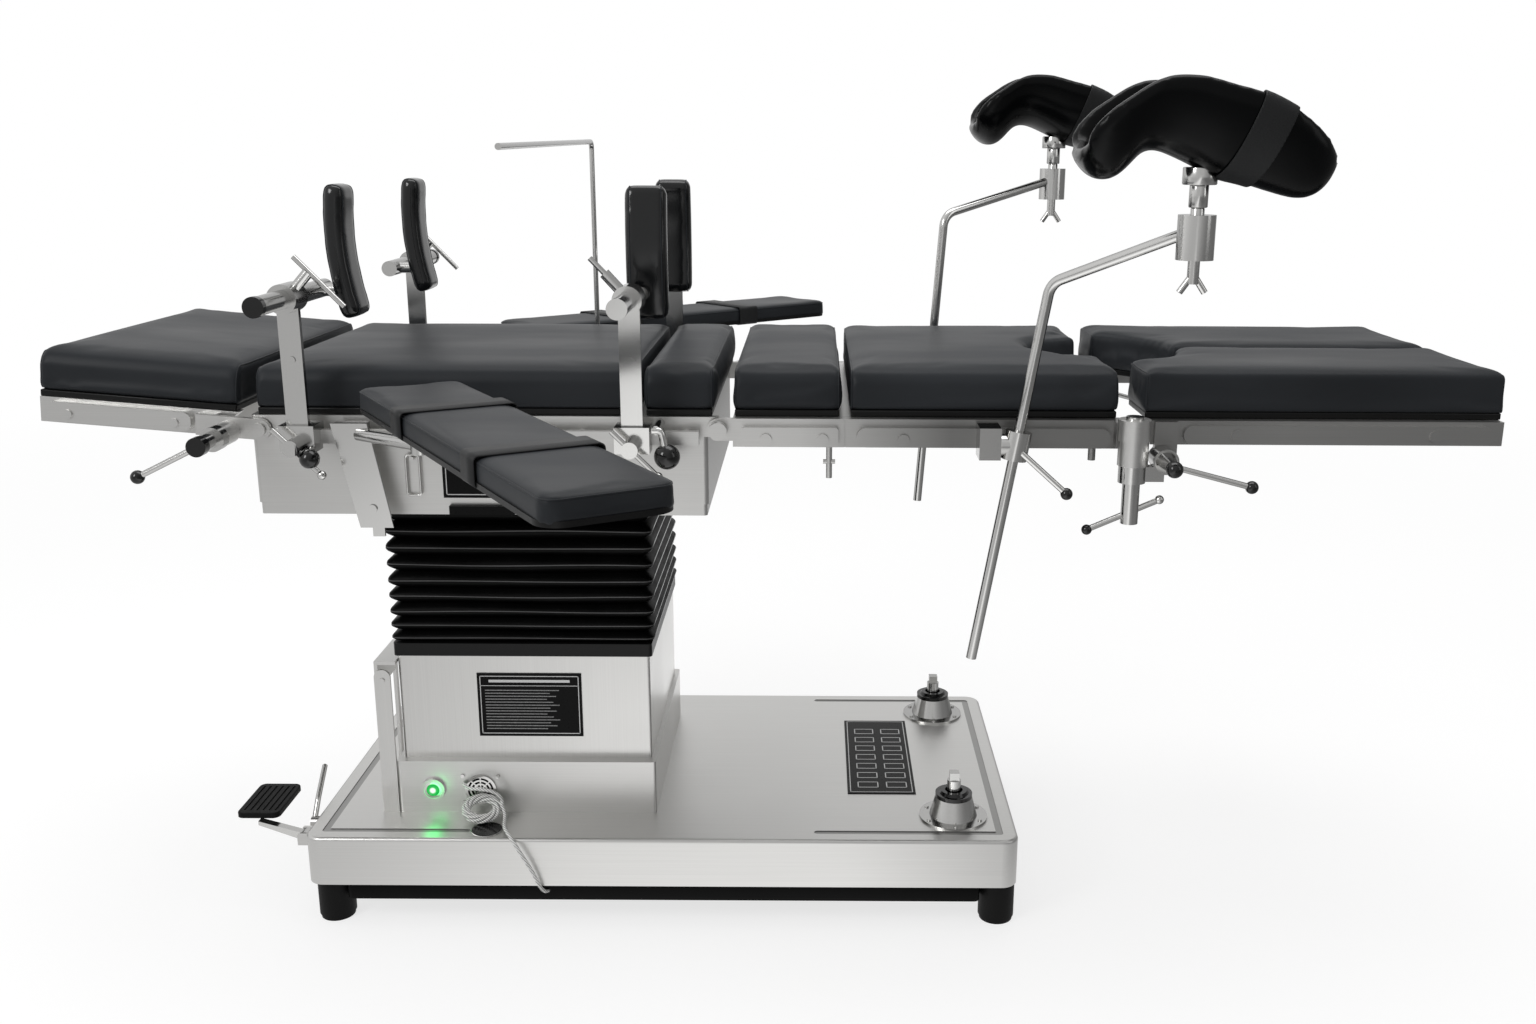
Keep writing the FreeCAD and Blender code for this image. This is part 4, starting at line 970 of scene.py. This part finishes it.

# %% [markdown]
# The power button is a lit lens in a turned bezel. The lens is a flat dome, made by flattening
# a sphere. Behind the rings of the fan guard it is dark, so a black disc closes the opening: a
# painted shade. A turned rim lies round the dark plug in the base, and a black band runs round
# under its cover.

# %% Lens, painted shade in the fan opening, plug rim and chassis band
forwards = Matrix.Rotation(math.radians(90), 4, "X")
dome = bmesh.new()
flat, lens_radius, fan_radius = Matrix.Diagonal((1, 0.22, 1, 1)), 0.0098, 22.4
bmesh.ops.create_uvsphere(dome, u_segments=48, v_segments=24, radius=lens_radius,
                          matrix=Matrix.Translation(at(-138, -194.6, 176)) @ flat)
piece("button_lens", dome, lens_glow, "button")
# A black disc behind the fan guard: painted shade.
painted_shade_disc = bmesh.new()
cylinder(painted_shade_disc, at(-68, -191.45, 176), fan_radius, 0.8, 64, forwards)
piece("fan_painted_shade", painted_shade_disc, chassis_paint, "base")
bpy.ops.mesh.primitive_torus_add(location=at(-49, -247, 139.8), major_radius=0.0218, minor_radius=0.0009,
                                 major_segments=64, minor_segments=8)
plug_rim = bpy.context.object
plug_rim.name = "plug_rim"
plug_rim.data.transform(plug_rim.matrix_world)
plug_rim.matrix_world = Matrix()
plug_rim.data.materials.append(polished)
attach(plug_rim, "base")
band = block((-252, -266, 38), (663, 266, 61))
rounded(band, upright(band), 8, 4)
rounded(band, sharp_edges(band, 60), 2, 2)
piece("chassis_band", band, chassis_paint, "base")
print("lens of", lens_radius, "m, and a fan opening of", fan_radius / 1000, "m, as radii")

# %% [markdown]
# The mains lead leaves the fan guard, is wound into a small coil that leans on the column, and
# then runs over the edge and under the base. It is one smooth spline. Its control points follow
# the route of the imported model, with a few more beside the coil so that it bends gently there. A
# loop adds the turns of the coil. They wind round each other like the strands of a rope, which
# gives the slanting strokes that such a hank shows.

# %% Power cord
lead = [(-92, -194, 186), (-84, -212, 187), (-64, -220, 190), (-46, -219, 187), (-36, -216, 178),
        (-32, -212.5, 168)]
tail = [(-29.5, -219, 157.5), (-26, -229, 151.5), (-24.5, -241, 148.8), (-22, -255, 148),
        (-15, -270, 147.5), (-6, -281, 143), (5, -287, 127), (15, -286, 108), (24, -284, 89),
        (31, -283, 68), (38, -270, 51), (44, -253, 52)]
coil_middle, coil_half_width, coil_half_height, winding = (-62, -217, 157.9), 23, 17, 4.8


def coil_points(turns=5, twists=9, steps=16):
    """The turns of the coil, which also wind round each other as they go."""
    points, lean_back = [], math.radians(52)
    for i in range(turns * steps):
        a, ring = 2 * math.pi * i / steps, 2 * math.pi * twists * i / (turns * steps)
        outward = Vector((math.cos(a) / coil_half_width, -math.sin(a) / coil_half_height)).normalized()
        x = coil_half_width * math.cos(a) + winding * math.cos(ring) * outward.x
        up = -coil_half_height * math.sin(a) + winding * math.cos(ring) * outward.y
        out = winding * math.sin(ring)
        y = out * math.cos(lean_back) + up * math.sin(lean_back)
        z = -out * math.sin(lean_back) + up * math.cos(lean_back)
        points.append((coil_middle[0] + x, coil_middle[1] + y, coil_middle[2] + z))
    return points


route = [at(*p) for p in lead + coil_points() + tail]
curve = bpy.data.curves.new("power_lead", "CURVE")
cord_radius = 0.0025
curve.dimensions, curve.bevel_depth, curve.use_fill_caps = "3D", cord_radius, True
curve.bevel_resolution, curve.resolution_u = 3, 6
spline = curve.splines.new("NURBS")
spline.points.add(len(route) - 1)
for point, where in zip(spline.points, route):
    point.co = (*where, 1)
spline.order_u = 3
spline.use_endpoint_u = True
curve.materials.append(cord_white)
cord = bpy.data.objects.new("power_lead", curve)
scene.collection.objects.link(cord)
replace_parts(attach(cord, "base"), "power_cord")

# %% [markdown]
# The room is white, but polished steel shows everything around it, also what the camera can't
# see. So the floor has three looks. To the camera it is white and keeps a soft shadow. In the
# steel's reflections it is bright in the middle and dark to the right, like a studio with one
# large lamp behind the camera, and the walls get darker to the right as well. For all other light
# it is a plain pale floor. Far away it fades into the white behind it, so that no horizon shows.
# A tiny green lamp stands for the light that falls from the button on the steel around.

# %% Floor, world and lamps
def studio_floor():
    bm = bmesh.new()
    bmesh.ops.create_grid(bm, x_segments=1, y_segments=1, size=12)
    finish = Finish("floor_paint", Roughness=0.5, Specular_IOR_Level=0.0)
    spot = finish.add("ShaderNodeSeparateXYZ", Vector=finish.place)
    seen = finish.add("ShaderNodeLightPath")

    def ramp(value, start, end, stops):
        return finish.greys(finish.run(value, start, end), stops)

    def mixed(factor, first, second):
        node = finish.add("ShaderNodeMix", data_type="RGBA")
        for socket, value in (("Factor_Float", factor), ("A_Color", first), ("B_Color", second)):
            slot = next(i for i in node.inputs if i.identifier == socket)
            finish.put(slot, (value, value, value, 1) if isinstance(value, float) else value)
        return next(o for o in node.outputs if o.identifier == "Result_Color")

    close_shades = [(0.0, 0.6), (0.27, 0.74), (0.4, 1.1), (0.54, 1.15), (0.63, 0.7), (0.75, 0.36), (1.0, 0.2)]
    far_shades = [(0.0, 0.45), (0.15, 0.45), (0.36, 1.0), (0.46, 0.95), (0.56, 0.3), (1.0, 0.14)]
    close = ramp(spot.outputs["X"], -1.5, 1.5, close_shades)
    distant = ramp(spot.outputs["X"], -2.5, 2.5, far_shades)
    where = ramp(spot.outputs["Y"], -3.0, -1.2, [(0.0, 0.0), (1.0, 1.0)])
    mirrored = mixed(where, distant, close)
    away = finish.add("ShaderNodeVectorMath", operation="LENGTH", Vector=finish.place).outputs["Value"]
    shown = ramp(away, 1.4, 5.0, [(0.0, 0.735), (1.0, 1.0)])
    shaded = ramp(away, 1.4, 5.0, [(0.0, 0.32), (1.0, 0.0)])
    light = mixed(seen.outputs["Is Camera Ray"], mixed(seen.outputs["Is Glossy Ray"], 0.0, mirrored), shown)
    paint = mixed(seen.outputs["Is Camera Ray"], mixed(seen.outputs["Is Glossy Ray"], 0.62, 0.0), shaded)
    finish.feed(Base_Color=paint, Emission_Color=light)
    finish.shader.inputs["Emission Strength"].default_value = 1.0
    floor = piece("floor", bm, finish.material, None)
    floor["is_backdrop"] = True
    return floor


def studio_world():
    world = bpy.data.worlds.new("studio")
    world.use_nodes = True
    scene.world = world
    new, link = world.node_tree.nodes.new, world.node_tree.links.new
    background = world.node_tree.nodes["Background"]
    parts = new("ShaderNodeSeparateXYZ")
    link(new("ShaderNodeTexCoord").outputs["Generated"], parts.inputs[0])

    def shade(axis, *ends):
        """Brightness that runs between two values along one axis of the direction looked at."""
        run = new("ShaderNodeMapRange")
        link(parts.outputs[axis], run.inputs["Value"])
        for socket, value in zip(("From Min", "From Max", "To Min", "To Max"), ends):
            run.inputs[socket].default_value = value
        return run.outputs["Result"]

    walls = new("ShaderNodeMath")
    walls.operation = "MULTIPLY"
    link(shade("Y", -0.9, 0.3, 0.48, 0.82), walls.inputs[0])
    link(shade("X", 0.1, 0.9, 1.0, 0.3), walls.inputs[1])
    pick = new("ShaderNodeMix")
    link(new("ShaderNodeLightPath").outputs["Is Camera Ray"], pick.inputs["Factor"])
    link(walls.outputs[0], pick.inputs["A"])
    pick.inputs["B"].default_value = 1.0
    link(pick.outputs["Result"], background.inputs["Strength"])
    background.inputs["Color"].default_value = (1, 1, 1, 1)


def soft_lamp(name, place, target, size, watts):
    lamp = bpy.data.lights.new(name, "AREA")
    lamp.shape, lamp.size, lamp.size_y, lamp.energy = "RECTANGLE", size[0], size[1], watts
    obj = bpy.data.objects.new(name, lamp)
    scene.collection.objects.link(obj)
    obj.location = place
    obj.rotation_euler = (Vector(target) - Vector(place)).to_track_quat("-Z", "Y").to_euler()
    return obj


studio_floor()
studio_world()
soft_lamp("left_lamp", (-2.2, -2.2, 2.4), (0, 0, 0.6), (0.9, 1.4), 28)
soft_lamp("top_lamp", (0.3, 0.4, 3.6), (0.2, 0, 0), (3.0, 1.6), 34)
soft_lamp("right_lamp", (2.8, -1.4, 1.9), (0.2, 0, 0.6), (1.0, 2.2), 6)
glow = bpy.data.lights.new("button_glow", "POINT")
glow.energy, glow.color, glow.shadow_soft_size = 0.012, (0.01, 1.0, 0.16), 0.012
shine = bpy.data.objects.new("button_glow", glow)
scene.collection.objects.link(shine)
shine.location = at(-138, -214, 170)
scene.view_settings.view_transform = "Standard"

# %% [markdown]
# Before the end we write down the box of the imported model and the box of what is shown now, to
# see that no cover stands out of it.

# %% Sizes
shown_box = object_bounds()
grown = [[round(1000 * (s - c), 1) for s, c in zip(*pair)] for pair in zip(shown_box, cad_box)]
print("visual minus packed, mm", grown)
